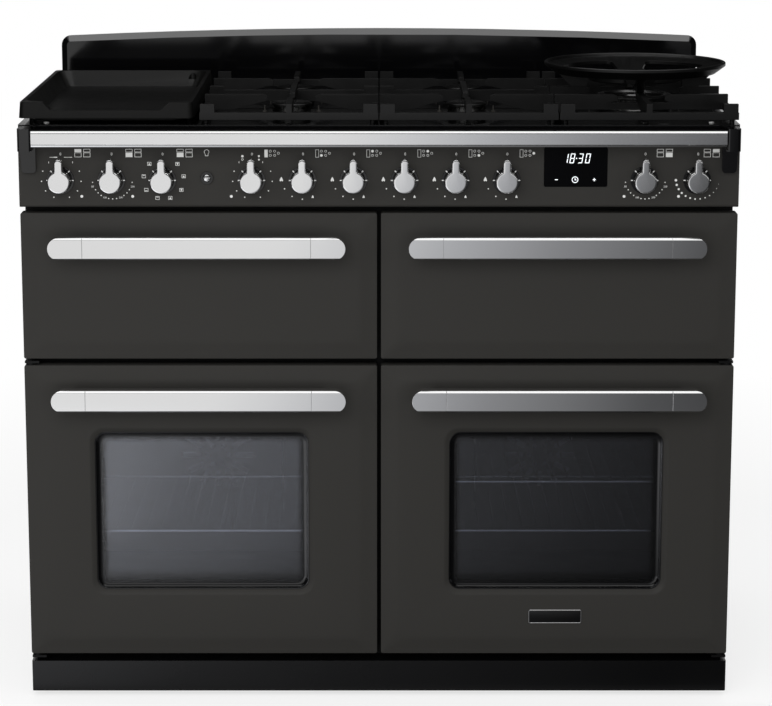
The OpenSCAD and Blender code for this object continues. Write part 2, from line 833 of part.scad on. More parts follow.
module grill_liner() {
    runner_z = grill_z + 36;
    color("slategray") place() {
        cavity_liner(-door_cx, grill_w, grill_z, grill_h, grill_d);
        for (s = [-1, 1])
            block([-door_cx + s * (grill_w / 2 - 9) - 9, -door_cx + s * (grill_w / 2 - 9) + 9],
                [frame_y + 10, frame_y + grill_d - 10], [runner_z, runner_z + 4]);
    }
}

// pan that hangs by its rim on the runners, with a loose wire trivet on its floor
module grill_pan() {
    w = grill_w - 12;
    d = grill_d - 60;
    rim = 15;
    wall = 2;
    wire_r = 2;
    wires = 11;
    bottom = grill_z + 43 - grill_pan_h;
    trivet_w = w - 2 * (rim + wall) - 2 * wire_r;
    trivet_d = d - 20 - 2 * wall - 2 * wire_r;
    trivet_z = bottom + wall + fit + wire_r;
    color("gray") place() translate([-door_cx, frame_y + 20 + d / 2, 0]) {
        difference() {
            union() {
                translate([0, 0, grill_z + 40]) flat_plate(w, d, 12, 3);
                translate([0, 0, bottom]) flat_plate(w - 2 * rim, d - 20, 16, grill_pan_h);
            }
            translate([0, 0, bottom + wall])
                flat_plate(w - 2 * rim - 2 * wall, d - 20 - 2 * wall, 14, grill_pan_h);
        }
        for (i = [0 : wires - 1])
            translate([(i / (wires - 1) - 0.5) * (trivet_w - 30), 0, trivet_z])
                rod_y(wire_r, [-trivet_d / 2, trivet_d / 2]);
        for (y = [-0.5, 0.5])
            translate([0, y * (trivet_d - 30), trivet_z + 1.5 * wire_r])
                rod_x(wire_r, [-trivet_w / 2, trivet_w / 2]);
    }
}

// runner seen from the front: a channel that is open towards the drawer
module telescopic_rails() {
    rail_x = drawer_w / 2 + 6;
    mid = drawer_z + drawer_h * 0.45;
    color("silver") place()
        for (s = [0, 1]) translate([door_cx, 0, 0]) mirror([s, 0, 0]) difference() {
            block([rail_x - 5, rail_x + 13 - sheet / 2], [behind_frame, behind_frame + drawer_d - 20],
                [mid - runner_h / 2, mid + runner_h / 2]);
            block([rail_x - 6, rail_x + 6], [frame_y, behind_frame + drawer_d],
                [mid - runner_h / 2 + 5, mid + runner_h / 2 - 5]);
        }
}

module fan_cover(cx) {
    translate([cx, oven_back - cover_d, oven_mid]) difference() {
        face_plate(cover_w, cover_w, 14, cover_d - seam);
        translate([0, sheet, 0]) face_plate(cover_w - 2 * sheet, cover_w - 2 * sheet, 13, cover_d);
        for (i = [0 : 11])
            rotate([0, i * 30, 0]) translate([0, 0, fan_r - 16]) {
                face_plate(9, 36, 4.4, 3);
            }
        for (i = [0 : 5]) rotate([0, i * 60, 0]) translate([18, 0, 0]) rod_y(4, [-1, 3]);
        for (z = [-1, 1])
            for (x = [-3 : 3])
                translate([x * 28, cover_d / 2, z * cover_w / 2]) cube([20, 24, 8], center = true);
    }
}

module oven_liners() {
    color("dimgray") place()
        for (s = [-1, 1]) {
            difference() {
                cavity_liner(s * door_cx, oven_w, oven_z, oven_h, oven_d);
                translate([s * door_cx, 0, oven_mid]) rod_y(2 * shaft_r, [oven_back - 1, oven_back + 3]);
            }
            fan_cover(s * door_cx);
        }
}

module side_ladder(cx, s) {
    x = cx + s * (oven_w / 2 - wire_d / 2 - fit);
    rung_x = x - s * (wire_d - 0.2);
    near = frame_y + 30;
    far = oven_back - cover_d - 30;
    top = oven_z + 50 + (ladder_rungs - 1) * rung_pitch;
    for (y = [near, far])
        translate([x, y, oven_z + 30]) cylinder(r = wire_d / 2, h = top - oven_z);
    for (i = [0 : ladder_rungs - 1])
        for (dz = [0, 12])
            translate([rung_x, 0, oven_z + 50 + i * rung_pitch + dz]) rod_y(wire_d / 2, [near - 3, far + 3]);
}

module oven_shelf(cx, rung) {
    r = wire_d / 2;
    z = oven_z + 50 + 12 + rung * rung_pitch + wire_d + 0.2;
    half = oven_w / 2 - wire_d - 1;
    near = frame_y + 24;
    far = oven_back - cover_d - 12;
    translate([cx, 0, z]) {
        for (s = [-1, 1]) translate([s * half - s * r, 0, 0]) rod_y(r, [near, far]);
        for (y = [near, far]) translate([0, y, 0]) rod_x(r, [-half + r, half - r]);
        for (i = [1 : shelf_wires - 2])
            translate([-half + i * 2 * half / (shelf_wires - 1), 0, 0]) rod_y(r * 0.6, [near, far]);
    }
}

module oven_racks() {
    color("silver") place() {
        for (cx = [-door_cx, door_cx])
            for (s = [-1, 1]) side_ladder(cx, s);
        oven_shelf(-door_cx, 2);
        oven_shelf(door_cx, 2);
        oven_shelf(door_cx, 4);
    }
}

module fan_motors() {
    flange_r = 44;
    motor_r = 30;
    motor_len = 46;
    color("gray") place()
        for (s = [-1, 1])
            translate([s * door_cx, oven_back + sheet, oven_mid]) difference() {
                union() {
                    rod_y(flange_r, [0, 2]);
                    rod_y(motor_r, [0, motor_len]);
                }
                rod_y(shaft_r + pin_play, [-1, shaft_in + 2]);
            }
}

module fan_wheel(cx) {
    translate([cx, fan_y, oven_mid]) {
        rod_y(fan_r, [18, 19.5]);
        rod_y(12, [4, 19]);
        for (i = [0 : fan_blades - 1])
            rotate([0, i * 360 / fan_blades, 0])
                translate([fan_r - 22, 2, -0.75]) cube([20, 17, 1.5]);
        rod_y(shaft_r, [0, oven_back + sheet + shaft_in - fan_y]);
    }
}

module left_oven_fan() {
    color("silver") place() fan_wheel(-door_cx);
}

module right_oven_fan() {
    color("silver") place() fan_wheel(door_cx);
}

module cavity_seal(cx, w, z, h) {
    translate([cx, door_d + fit, z + h / 2]) difference() {
        face_plate(w + 2 * seal_w + 6, h + 2 * seal_w + 6, 10, seal_space - sheet - fit);
        translate([0, -1, 0]) face_plate(w + 6, h + 6, 6, seal_space + 2);
    }
}

module oven_seals() {
    color([0.15, 0.15, 0.15]) place() {
        for (s = [-1, 1]) cavity_seal(s * door_cx, oven_w, oven_z, oven_h);
        cavity_seal(-door_cx, grill_w, grill_z, grill_h);
    }
}

// bracket and pin under a side-hung door, turned over for the top of the door
module door_bracket() {
    washer = 3;
    plate = 3.5;
    block([-pin_edge + 1, 14], [pin_back - 8, frame_y], [-washer - plate - fit, -washer - fit]);
    translate([0, pin_back, -washer - fit - 2]) cylinder(r = pin_r, h = pin_depth + washer + 2);
    translate([0, pin_back, -washer - fit - eps]) cylinder(r = pin_r + 3, h = washer + eps);
}

module drop_arm() {
    rod_x(knuckle_r, [-arm_t / 2, arm_t / 2]);
    block([-arm_t / 2, arm_t / 2], [0, frame_y - pin_back], [-5, 5]);
    rod_x(drop_pin_r, [-arm_t / 2 - 12, arm_t / 2 + 12]);
}

module door_hinges() {
    color("silver") place() {
        for (s = [0, 1]) mirror([s, 0, 0]) translate([-half_w + pin_edge, 0, 0]) {
            translate([0, 0, lower_z]) door_bracket();
            translate([0, 0, lower_top]) mirror([0, 0, 1]) door_bracket();
        }
        for (s = [-1, 1])
            translate([-door_cx + s * arm_offset, pin_back, upper_z + drop_axis]) drop_arm();
    }
}

// raised field with a sloped border, as pressed from one sheet
module door_block(w, h, d) {
    hull() {
        translate([0, border_fall, 0]) face_plate(w, h, door_r, d - border_fall, $fn = hull_fn);
        face_plate(w - 2 * border_w, h - 2 * border_w, field_r, border_fall, $fn = hull_fn);
    }
}

module door_shell(h) {
    difference() {
        door_block(door_w, h, shell_d);
        translate([0, skin, 0]) door_block(door_w - 2 * skin, h - 2 * skin, shell_d);
    }
}

module window_cut() {
    hull() {
        translate([0, -eps, window_dz]) face_plate(window_w, window_h, window_r, eps, $fn = hull_fn);
        translate([0, window_depth, window_dz])
            face_plate(window_w - 2 * window_lip, window_h - 2 * window_lip, window_r - 5, 2, $fn = hull_fn);
    }
}

// front of a side-hung oven door, hinged on its left edge
module oven_door_panel() {
    difference() {
        union() {
            door_shell(lower_door_h);
            translate([0, skin / 2, window_dz])
                face_plate(window_w + 6, window_h + 6, window_r, window_depth - skin / 2);
            for (s = [-1, 1])
                translate([0, 0, s * lower_door_h / 2]) mirror([0, 0, s > 0 ? 1 : 0])
                    block([-door_w / 2 + 1, -door_w / 2 + 28], [border_fall + 2, shell_d],
                        [1, pin_depth + 6]);
        }
        window_cut();
        for (s = [-1, 1])
            translate([-door_w / 2 + pin_edge, pin_back, s * lower_door_h / 2])
                translate([0, 0, -pin_depth - 1]) cylinder(r = pin_r + pin_play, h = 2 * pin_depth + 2);
    }
}

module door_pan(h) {
    translate([0, shell_d, 0]) difference() {
        face_plate(door_w - 2, h - 2, door_r, door_d - shell_d);
        translate([0, -1, 0])
            face_plate(door_w - 2 - 2 * pan_rim, h - 2 - 2 * pan_rim, door_r, door_d - shell_d + 1 - sheet);
    }
}

module oven_door_liner() {
    difference() {
        door_pan(lower_door_h);
        translate([0, shell_d, window_dz])
            face_plate(window_w - 2 * window_lip, window_h - 2 * window_lip, 10, door_d);
    }
}

module oven_door_glass() {
    translate([0, window_depth, window_dz]) face_plate(pane_w, pane_h, 12, glass_t);
    translate([0, door_d - sheet - glass_t, window_dz]) face_plate(pane_w, pane_h, 12, glass_t);
}

module handle_section() {
    front = -handle_reach;
    polygon([[front, handle_h / 2 - handle_bevel], [front + handle_bevel, handle_h / 2],
        [front + handle_t, handle_h / 2], [front + handle_t, -handle_h / 2],
        [front + handle_under, -handle_h / 2], [front, -handle_h / 2 + handle_under]]);
}

// round-ended end piece with its post, tip at x = 0
module handle_end_piece() {
    r = handle_h / 2;
    post_x = r + 4;
    intersection() {
        prism_x(0, handle_end - seam) handle_section();
        union() {
            translate([r, 0, 0]) rod_y(r, [-handle_reach - 1, 0]);
            block([r, handle_end], [-handle_reach - 1, 0], [-r - 1, r + 1]);
        }
    }
    translate([post_x, 0, 0]) rod_y(post_r, [-handle_reach + handle_t - 2, 0]);
    block([post_x, post_x + 12], [-handle_reach + handle_t - 2, 0], [-post_r, post_r]);
    translate([0, -handle_reach + handle_t / 2, 0]) rod_x(6, [handle_end - 4, handle_end + 10]);
}

module door_handle() {
    difference() {
        prism_x(handle_end, handle_len - handle_end) handle_section();
        for (x = [handle_end, handle_len - handle_end])
            translate([x, -handle_reach + handle_t / 2, 0]) rod_x(6 + seam, [-12, 12]);
    }
    handle_end_piece();
    translate([handle_len, 0, 0]) mirror([1, 0, 0]) handle_end_piece();
}

module grill_door_panel() {
    color("dimgray") place() translate([-door_cx, 0, upper_mid]) difference() {
        union() {
            door_shell(upper_door_h);
            for (s = [-1, 1])
                block([s * arm_offset - 17, s * arm_offset + 17], [border_fall + 2, pin_back + 12],
                    [-upper_door_h / 2 + 1, -upper_door_h / 2 + drop_axis + 9]);
        }
        for (s = [-1, 1]) translate([s * arm_offset, 0, -upper_door_h / 2]) {
            block([-arm_t / 2 - 1, arm_t / 2 + 1], [border_fall + 2, door_d + 1], [-1, drop_axis + 10]);
            translate([0, pin_back, drop_axis])
                rod_x(drop_pin_r + pin_play, [-arm_t / 2 - 12.5, arm_t / 2 + 12.5]);
        }
    }
}

module grill_door_liner() {
    color("slategray") place() translate([-door_cx, 0, upper_mid]) difference() {
        door_pan(upper_door_h);
        for (s = [-1, 1])
            translate([s * arm_offset, 0, -upper_door_h / 2])
                block([-arm_t / 2 - 1, arm_t / 2 + 1], [shell_d - 1, door_d + 1], [-1, drop_axis + 10]);
    }
}

module grill_door_handle() {
    color("whitesmoke") place()
        translate([-handle_inner - handle_len, 0, upper_top - handle_drop]) door_handle();
}

module drawer_front() {
    color("dimgray") place() translate([door_cx, 0, upper_mid]) door_shell(upper_door_h);
}

module drawer_box() {
    back = shell_d + sheet + drawer_d;
    mid = drawer_z + drawer_h * 0.45;
    color("silver") place() {
        difference() {
            union() {
                translate([door_cx, shell_d, upper_mid])
                    face_plate(door_w - 2, upper_door_h - 2, door_r, door_d - shell_d);
                block([door_cx - drawer_w / 2, door_cx + drawer_w / 2], [door_d - 1, back],
                    [drawer_z, drawer_z + drawer_h]);
            }
            translate([door_cx, shell_d - 1, upper_mid])
                face_plate(door_w - 2 - 2 * pan_rim, upper_door_h - 2 - 2 * pan_rim, door_r,
                    door_d - shell_d + 1 - sheet);
            block([door_cx - drawer_w / 2 + sheet, door_cx + drawer_w / 2 - sheet],
                [door_d, back - sheet], [drawer_z + sheet, drawer_z + drawer_h + 1]);
        }
        for (s = [0, 1]) translate([door_cx, 0, 0]) mirror([s, 0, 0])
            block([drawer_w / 2 - eps, drawer_w / 2 + 5.5], [frame_y + 4, back],
                [mid - runner_h / 2 + 5 + fit, mid + runner_h / 2 - 5 - fit]);
    }
}

module drawer_handle() {
    color("whitesmoke") place()
        translate([handle_inner - 5.5, 0, upper_top - handle_drop]) door_handle();
}

module left_door_panel() {
    color("dimgray") place() translate([-door_cx, 0, lower_mid]) oven_door_panel();
}

module left_door_liner() {
    color("slategray") place() translate([-door_cx, 0, lower_mid]) oven_door_liner();
}

module left_door_glass() {
    color([0.2, 0.2, 0.22]) place() translate([-door_cx, 0, lower_mid]) oven_door_glass();
}

module left_door_handle() {
    color("whitesmoke") place()
        translate([-handle_inner - handle_len, 0, lower_top - handle_drop_low]) door_handle();
}

module right_door_panel() {
    color("dimgray") place() translate([door_cx, 0, lower_mid]) mirror([1, 0, 0]) oven_door_panel();
}

module right_door_liner() {
    color("slategray") place() translate([door_cx, 0, lower_mid]) oven_door_liner();
}

module right_door_glass() {
    color([0.2, 0.2, 0.22]) place() translate([door_cx, 0, lower_mid]) oven_door_glass();
}

module right_door_handle() {
    color("whitesmoke") place()
        translate([handle_inner, 0, lower_top - handle_drop_low]) door_handle();
}

// knob with a round skirt, a keyhole face and its spindle, axis at x = 0
module control_knob(x) {
    lobe_r = pointer_w / 2;
    rear = -0.5;
    color("whitesmoke") place() translate([x, 0, knob_z]) {
        difference() {
            union() {
                rod_y(knob_r, [-knob_depth + 1, rear]);
                rod_y(knob_r - 1, [-knob_depth, rear]);
                translate([0, 0, pointer_reach - lobe_r])
                    rod_y(lobe_r, [-knob_depth + 0.5, -knob_depth + knob_face]);
                block([-lobe_r, lobe_r], [-knob_depth + 0.5, -knob_depth + knob_face],
                    [0, pointer_reach - lobe_r]);
            }
            rod_y(spindle_r + 0.02, [-knob_depth + knob_face, 1]);
        }
        rod_y(spindle_r, [-knob_depth + knob_face + seam, spindle_in]);
    }
}

module grill_knob() {
    control_knob(electric_knobs[0]);
}

module left_oven_temperature_knob() {
    control_knob(electric_knobs[1]);
}

module left_oven_function_knob() {
    control_knob(electric_knobs[2]);
}

module hotplate_knob() {
    control_knob(electric_knobs[3]);
}

module right_oven_knob() {
    control_knob(electric_knobs[4]);
}

module drawer_knob() {
    control_knob(electric_knobs[5]);
}

module burner_knob_1() {
    control_knob(gas_knobs[0]);
}

module burner_knob_2() {
    control_knob(gas_knobs[1]);
}

module burner_knob_3() {
    control_knob(gas_knobs[2]);
}

module burner_knob_4() {
    control_knob(gas_knobs[3]);
}

module burner_knob_5() {
    control_knob(gas_knobs[4]);
}

module light_button() {
    color("silver") place() translate([button_x, 0, button_z]) rotate([90, 0, 0]) rotate_extrude()
        polygon([[0, -button_back], [button_r, -button_back], [button_r, 4], [button_r * 0.85, 5.4], [button_r * 0.5, 6.4],
            [0, 6.8]]);
}

// corner of the dip outline: points on an arc round c from angle a0 to a1
function arc_points(c, r, a0, a1) = [for (i = [0 : 6])
    let (a = a0 + (a1 - a0) * i / 6) [c[0] + r * cos(a), c[1] + r * sin(a)]];

// outline of the dip, from left to right, seen from the front
module dip_outline() {
    left = -griddle_w * 0.36;
    right = griddle_w * 0.36;
    r = 7;
    floor_z = griddle_top - griddle_dip;
    polygon(concat([[left - 3, griddle_top + 1], [left - 2, griddle_top]],
        arc_points([left + 12, floor_z + r], r, 215, 270),
        arc_points([right - 14, floor_z + r], r, 270, 325),
        [[right + 2, griddle_top], [right + 3, griddle_top + 1]]));
}

// tray with a drafted outer wall, a flared well, a dip in front and a hole in one rear corner
module griddle() {
    rim = 6;
    front_rim = 15;
    base = hob_z + foot_clear / 2;
    floor_top = base + griddle_floor;
    front_wall = griddle_wall + 9.5;
    foot_r = 6;
    color([0.13, 0.13, 0.12]) place() translate([griddle_x, griddle_y, 0]) difference() {
        union() {
            hull() {
                translate([0, griddle_len / 2, griddle_top - 1])
                    flat_plate(griddle_w, griddle_len, 8, 1, $fn = hull_fn);
                translate([0, griddle_len / 2, griddle_skirt])
                    flat_plate(griddle_w + 2 * griddle_draft, griddle_len + 2 * griddle_draft, 10, 1,
                        $fn = hull_fn);
            }
            translate([0, (griddle_len + front_wall - griddle_wall) / 2, base])
                flat_plate(griddle_w - 2 * griddle_wall + 10, griddle_len - front_wall - griddle_wall + 10,
                    24, griddle_skirt - base + 1);
            for (x = [-1, 1])
                for (y = [75, griddle_len - 20])
                    translate([x * (griddle_w / 2 - 11), y, hob_z])
                        cylinder(r = foot_r, h = griddle_skirt - hob_z + 1);
        }
        hull() {
            translate([0, (griddle_len + front_rim - rim) / 2, griddle_top])
                flat_plate(griddle_w - 2 * rim, griddle_len - front_rim - rim, 28, 1, $fn = hull_fn);
            translate([0, (griddle_len + front_wall - griddle_wall) / 2, floor_top])
                flat_plate(griddle_w - 2 * griddle_wall, griddle_len - front_wall - griddle_wall, 18, 1,
                    $fn = hull_fn);
        }
        translate([0, front_wall, 0]) rotate([90, 0, 0]) linear_extrude(front_wall + 5) dip_outline();
        translate([griddle_w / 2 - 31, griddle_len - 15, griddle_top - 14]) cylinder(r = 6.5, h = 15);
    }
}

// finger from the frame at x = 0 to its tip at x = len, deeper at the frame
module finger(len) {
    translate([0, bar_t / 2, 0]) rotate([90, 0, 0]) linear_extrude(bar_t)
        polygon([[0, bar_z], [len * 0.45, bar_z], [len, rest_z - 10], [len, rest_z - 3], [len - 8, rest_z],
            [0, rest_z]]);
}

module corner_block(w) {
    block([-w / 2, w / 2], [-bar_t / 2, bar_t / 2], [bar_z, rest_z]);
}

// frame of a pan support with the cross bars that both kinds share
module support_frame(cx) {
    y0 = support_front;
    y1 = support_front + support_len;
    half = support_w / 2;
    translate([cx, 0, 0]) {
        difference() {
            block([-half, half], [y0, y1], [bar_z, frame_top]);
            block([-half + bar_t, half - bar_t], [y0 + bar_t + 3, y1 - bar_t - 3], [bar_z - 1, frame_top + 1]);
        }
        for (x = [-1, 1])
            for (y = [y0 + bar_t / 2, y1 - bar_t / 2])
                translate([x * (half - 12), y, 0]) corner_block(22);
        for (x = [-1, 1])
            for (y = [y0 + 12, y1 - 12])
                translate([x * (half - bar_t), y, hob_z]) cylinder(r = 4, h = foot_clear + 1);
    }
}

module twin_support(cx) {
    y0 = support_front;
    y1 = support_front + support_len;
    half = support_w / 2;
    reach = half - finger_clear;
    middle = (front_burner_y + rear_burner_y) / 2;
    support_frame(cx);
    translate([cx, 0, 0]) {
        for (y = [front_burner_y, rear_burner_y])
            for (s = [0, 1]) mirror([s, 0, 0]) translate([-half, y, 0]) finger(reach);
        translate([0, y0, 0]) rotate([0, 0, 90]) finger(front_burner_y - y0 - finger_clear);
        translate([0, y1, 0]) rotate([0, 0, -90]) finger(y1 - rear_burner_y - finger_clear);
        block([-half, half], [middle - bar_t / 2, middle + bar_t / 2], [bar_z, rest_z - 6]);
        for (s = [-1, 1])
            translate([s * (half - 12), middle, 0]) corner_block(22);
        translate([0, middle, 0]) rotate([0, 0, 90]) finger(rear_burner_y - middle - finger_clear);
        translate([0, middle, 0]) rotate([0, 0, -90]) finger(middle - front_burner_y - finger_clear);
    }
}

module wok_support(cx) {
    y0 = support_front;
    y1 = support_front + support_len;
    half = support_w / 2;
    clear = wok_burner_r + 10;
    support_frame(cx);
    translate([cx, 0, 0]) {
        for (s = [0, 1]) mirror([s, 0, 0]) translate([-half, wok_burner_y, 0]) finger(half - clear);
        for (y = [front_burner_y, rear_burner_y]) {
            block([-half, half], [y - bar_t / 2, y + bar_t / 2], [bar_z, frame_top]);
            for (s = [0, 1]) mirror([s, 0, 0]) translate([-half, y, 0]) finger(half - finger_clear);
        }
        translate([0, y0, 0]) rotate([0, 0, 90]) finger(wok_burner_y - clear - y0);
        translate([0, y1, 0]) rotate([0, 0, -90]) finger(y1 - wok_burner_y - clear);
    }
}

module pan_support_left() {
    color([0.12, 0.12, 0.12]) place() twin_support(-zone_w / 2);
}

module pan_support_centre() {
    color([0.12, 0.12, 0.12]) place() twin_support(zone_w / 2);
}

module pan_support_right() {
    color([0.12, 0.12, 0.12]) place() wok_support(wok_x);
}

// outline of one opening between two webs of the wok ring
function opening_points(r_in, r_out, half, fillet) =
    let (near = r_in + fillet, far = r_out - fillet,
        a_near = half - asin(fillet / near), a_far = half - asin(fillet / far),
        side = concat([for (a = [3 : 6 : a_far - 1]) [r_out * cos(a), r_out * sin(a)]],
            arc_points([far * cos(a_far), far * sin(a_far)], fillet, a_far, half + 90),
            arc_points([near * cos(a_near), near * sin(a_near)], fillet, half + 90, 180 + a_near),
            [for (a = [a_near - 1 : -6 : 1]) [r_in * cos(a), r_in * sin(a)]]),
        last = len(side) - 1)
    concat(side, [for (i = [last : -1 : 0]) [side[i][0], -side[i][1]]]);

module wok_ring() {
    base = rest_z + wok_ring_foot;
    top = base + wok_seat_h;
    wall = 5;
    skirt = 17;
    reach = wok_ring_r - wok_ring_in;
    foot_in = wok_burner_r + 14;
    web = 12;
    slope = (wok_seat_h - 9) / reach;
    color([0.12, 0.12, 0.12]) place() translate([wok_x, wok_burner_y, 0]) {
        difference() {
            rotate_extrude($fn = 96)
                polygon([[wok_ring_in, base], [wok_ring_in + wall, base - 1],
                    [wok_ring_r - 20, top - skirt + 3.5], [wok_ring_r - 19, top - skirt],
                    [wok_ring_r - 16, top - skirt], [wok_ring_r, top - 5], [wok_ring_r, top - 1],
                    [wok_ring_r - 1, top], [wok_ring_r - 4, top], [wok_ring_r - 5, top - 1],
                    [wok_ring_r - 6, top - 4.5], [wok_ring_in, base + wall]]);
            for (q = [0 : 3]) rotate([0, 0, 45 + q * 90])
                translate([0, 0, base - wok_ring_foot]) linear_extrude(wok_seat_h + 2 * wok_ring_foot)
                    polygon(opening_points(wok_ring_in + 0.17 * reach, wok_ring_in + 0.68 * reach, 31, 9));
        }
        for (q = [0 : 3]) rotate([0, 0, q * 90])
            translate([0, web / 2, 0]) rotate([90, 0, 0]) linear_extrude(web)
                polygon([[foot_in, rest_z], [foot_in + 26, rest_z], [wok_ring_r - 14, top - 11],
                    [foot_in, base + wall - 2.5 + (foot_in - wok_ring_in) * slope]]);
    }
}

chassis();
side_panels();
rear_panel();
plinth();
levelling_feet();
hob_tray();
hotplate_glass();
heating_elements();
backguard();
burner_heads();
burner_caps();
igniters();
gas_rail();
switches_and_clock();
control_panel();
display_glass();
handrail();
handrail_brackets();
knob_bezels();
grill_liner();
grill_pan();
telescopic_rails();
oven_liners();
oven_racks();
fan_motors();
oven_seals();
door_hinges();
griddle();
pan_support_left();
pan_support_centre();
pan_support_right();
wok_ring();
grill_knob();
left_oven_temperature_knob();
left_oven_function_knob();
hotplate_knob();
burner_knob_1();
burner_knob_2();
burner_knob_3();
burner_knob_4();
burner_knob_5();
right_oven_knob();
drawer_knob();
light_button();
grill_door_panel();
grill_door_liner();
grill_door_handle();
drawer_front();
drawer_box();
drawer_handle();
left_door_panel();
left_door_liner();
left_door_glass();
left_door_handle();
right_door_panel();
right_door_liner();
right_door_glass();
right_door_handle();
left_oven_fan();
right_oven_fan();
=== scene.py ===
import json
import math

import bmesh
import bpy
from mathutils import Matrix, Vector


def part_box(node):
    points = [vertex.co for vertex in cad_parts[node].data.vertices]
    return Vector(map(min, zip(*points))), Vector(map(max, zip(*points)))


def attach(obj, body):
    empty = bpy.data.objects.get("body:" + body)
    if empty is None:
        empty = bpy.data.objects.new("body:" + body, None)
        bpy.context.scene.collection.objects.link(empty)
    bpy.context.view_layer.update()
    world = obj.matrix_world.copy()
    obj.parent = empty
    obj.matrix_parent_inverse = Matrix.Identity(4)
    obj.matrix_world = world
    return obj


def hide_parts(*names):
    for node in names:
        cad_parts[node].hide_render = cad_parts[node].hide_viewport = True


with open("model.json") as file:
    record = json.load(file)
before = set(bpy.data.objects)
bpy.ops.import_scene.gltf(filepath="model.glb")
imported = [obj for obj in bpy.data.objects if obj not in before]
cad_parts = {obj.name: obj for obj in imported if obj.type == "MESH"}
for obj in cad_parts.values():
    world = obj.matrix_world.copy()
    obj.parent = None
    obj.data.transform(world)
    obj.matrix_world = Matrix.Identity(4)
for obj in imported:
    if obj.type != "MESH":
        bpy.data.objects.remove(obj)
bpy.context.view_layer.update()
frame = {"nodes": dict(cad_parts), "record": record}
cadNodes = frame["nodes"]
bodyOf = {}
for bodyName, members in frame["record"]["behaviour"]["bodies"].items():
    for member in members:
        bodyOf[member] = bodyName

# sizes below are millimetres from the middle of the door fronts at floor level
panelLow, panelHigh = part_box("control_panel")
middleX = (panelLow.x + panelHigh.x) / 2
frontY = panelLow.y


def at(x, y, z):
    return Vector((middleX + x * 0.001, frontY + y * 0.001, z * 0.001))


def boxMm(node):
    return [Vector(((p.x - middleX) * 1000, (p.y - frontY) * 1000, p.z * 1000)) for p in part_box(node)]


hobTop = boxMm("hob_tray")[1].z
print("frame loaded, hob at", round(hobTop, 1), "mm")


def linked(name, data):
    made = bpy.data.objects.new(name, data)
    bpy.context.scene.collection.objects.link(made)
    return made


# camera, matched to the photograph
photoView = {"distance": 4136, "height": 1404, "pitch": 11.62, "focal": 2750, "width": 772,
             "middleColumn": 379}

cameraData = bpy.data.cameras.new("photoCamera")
cameraData.lens = photoView["focal"] / photoView["width"] * cameraData.sensor_width
cameraData.shift_x = (photoView["width"] / 2 - photoView["middleColumn"]) / photoView["width"]
cameraData.clip_end = 60
camera = linked("photoCamera", cameraData)
camera.location = at(0, -photoView["distance"], photoView["height"])
camera.rotation_euler = (math.radians(90 - photoView["pitch"]), 0, 0)
bpy.context.scene.camera = camera
bpy.context.scene.view_settings.view_transform = "Standard"


# node helpers
def addNode(tree, kind, inputs=None, **settings):
    # an input is given as a value, or as the socket that feeds it
    made = tree.nodes.new(kind)
    count = len(tree.nodes)
    made.location = (count % 8 * 220, count // 8 * -320)
    for key, value in settings.items():
        setattr(made, key, value)
    for key, value in (inputs or {}).items():
        if isinstance(value, bpy.types.NodeSocket):
            tree.links.new(value, made.inputs[key])
        else:
            made.inputs[key].default_value = value
    return made


def mathNode(tree, operation, *values):
    return addNode(tree, "ShaderNodeMath", dict(enumerate(values)), operation=operation).outputs[0]


def objectPlace(tree):
    return addNode(tree, "ShaderNodeTexCoord").outputs["Object"]


def screenColour(red, green, blue, alpha=1.0):
    # colours are noted as they look on a screen, 0 to 255
    def straight(value):
        value = value / 255
        return value / 12.92 if value <= 0.04045 else ((value + 0.055) / 1.055) ** 2.4
    return (straight(red), straight(green), straight(blue), alpha)


def newGroup(name, inputs, outputs):
    group = bpy.data.node_groups.new(name, "ShaderNodeTree")
    for socketName, value in inputs.items():
        kind = "NodeSocketFloat" if isinstance(value, float) else "NodeSocketVector"
        socket = group.interface.new_socket(name=socketName, in_out="INPUT", socket_type=kind)
        if value is not None:
            socket.default_value = value
    for socketName in outputs:
        group.interface.new_socket(name=socketName, in_out="OUTPUT", socket_type="NodeSocketFloat")
    return group, addNode(group, "NodeGroupInput").outputs


def endSkin(group, given, height, cloud):
    # the cloud moves roughness and shade up and down by the spread
    drift = mathNode(group, "MULTIPLY", mathNode(group, "SUBTRACT", cloud, 0.5), given["Spread"])
    results = {"Height": height, "Roughness": mathNode(group, "ADD", given["Roughness"], drift),
               "Shade": mathNode(group, "ADD", 1.0, drift)}
    end = addNode(group, "NodeGroupOutput")
    for name, source in results.items():
        if name in end.inputs:
            group.links.new(source, end.inputs[name])


# enamel fired on steel: a faint orange peel, with wide patches that are a little duller
enamelGroup, given = newGroup(
    "enamelSkin", {"Vector": None, "Scale": 900.0, "Roughness": 0.3, "Spread": 0.05},
    ["Height", "Roughness", "Shade"])
peel = addNode(enamelGroup, "ShaderNodeTexNoise",
               {"Vector": given["Vector"], "Scale": given["Scale"], "Detail": 3.0})
patches = addNode(enamelGroup, "ShaderNodeTexNoise", {"Vector": given["Vector"], "Scale": 5.0, "Detail": 4.0})
endSkin(enamelGroup, given, peel.outputs["Fac"], patches.outputs["Fac"])

# metal with a grain that runs one way: Stretch is small along the grain
grainGroup, given = newGroup("metalGrain", {"Vector": None, "Stretch": (0.02, 1.0, 1.0), "Scale": 1500.0,
                                            "Roughness": 0.2, "Spread": 0.1}, ["Height", "Roughness"])
stretched = addNode(grainGroup, "ShaderNodeVectorMath", {0: given["Vector"], 1: given["Stretch"]},
                    operation="MULTIPLY")
grain = addNode(grainGroup, "ShaderNodeTexNoise",
                {"Vector": stretched.outputs[0], "Scale": given["Scale"], "Detail": 2.0})
endSkin(grainGroup, given, grain.outputs["Fac"], grain.outputs["Fac"])

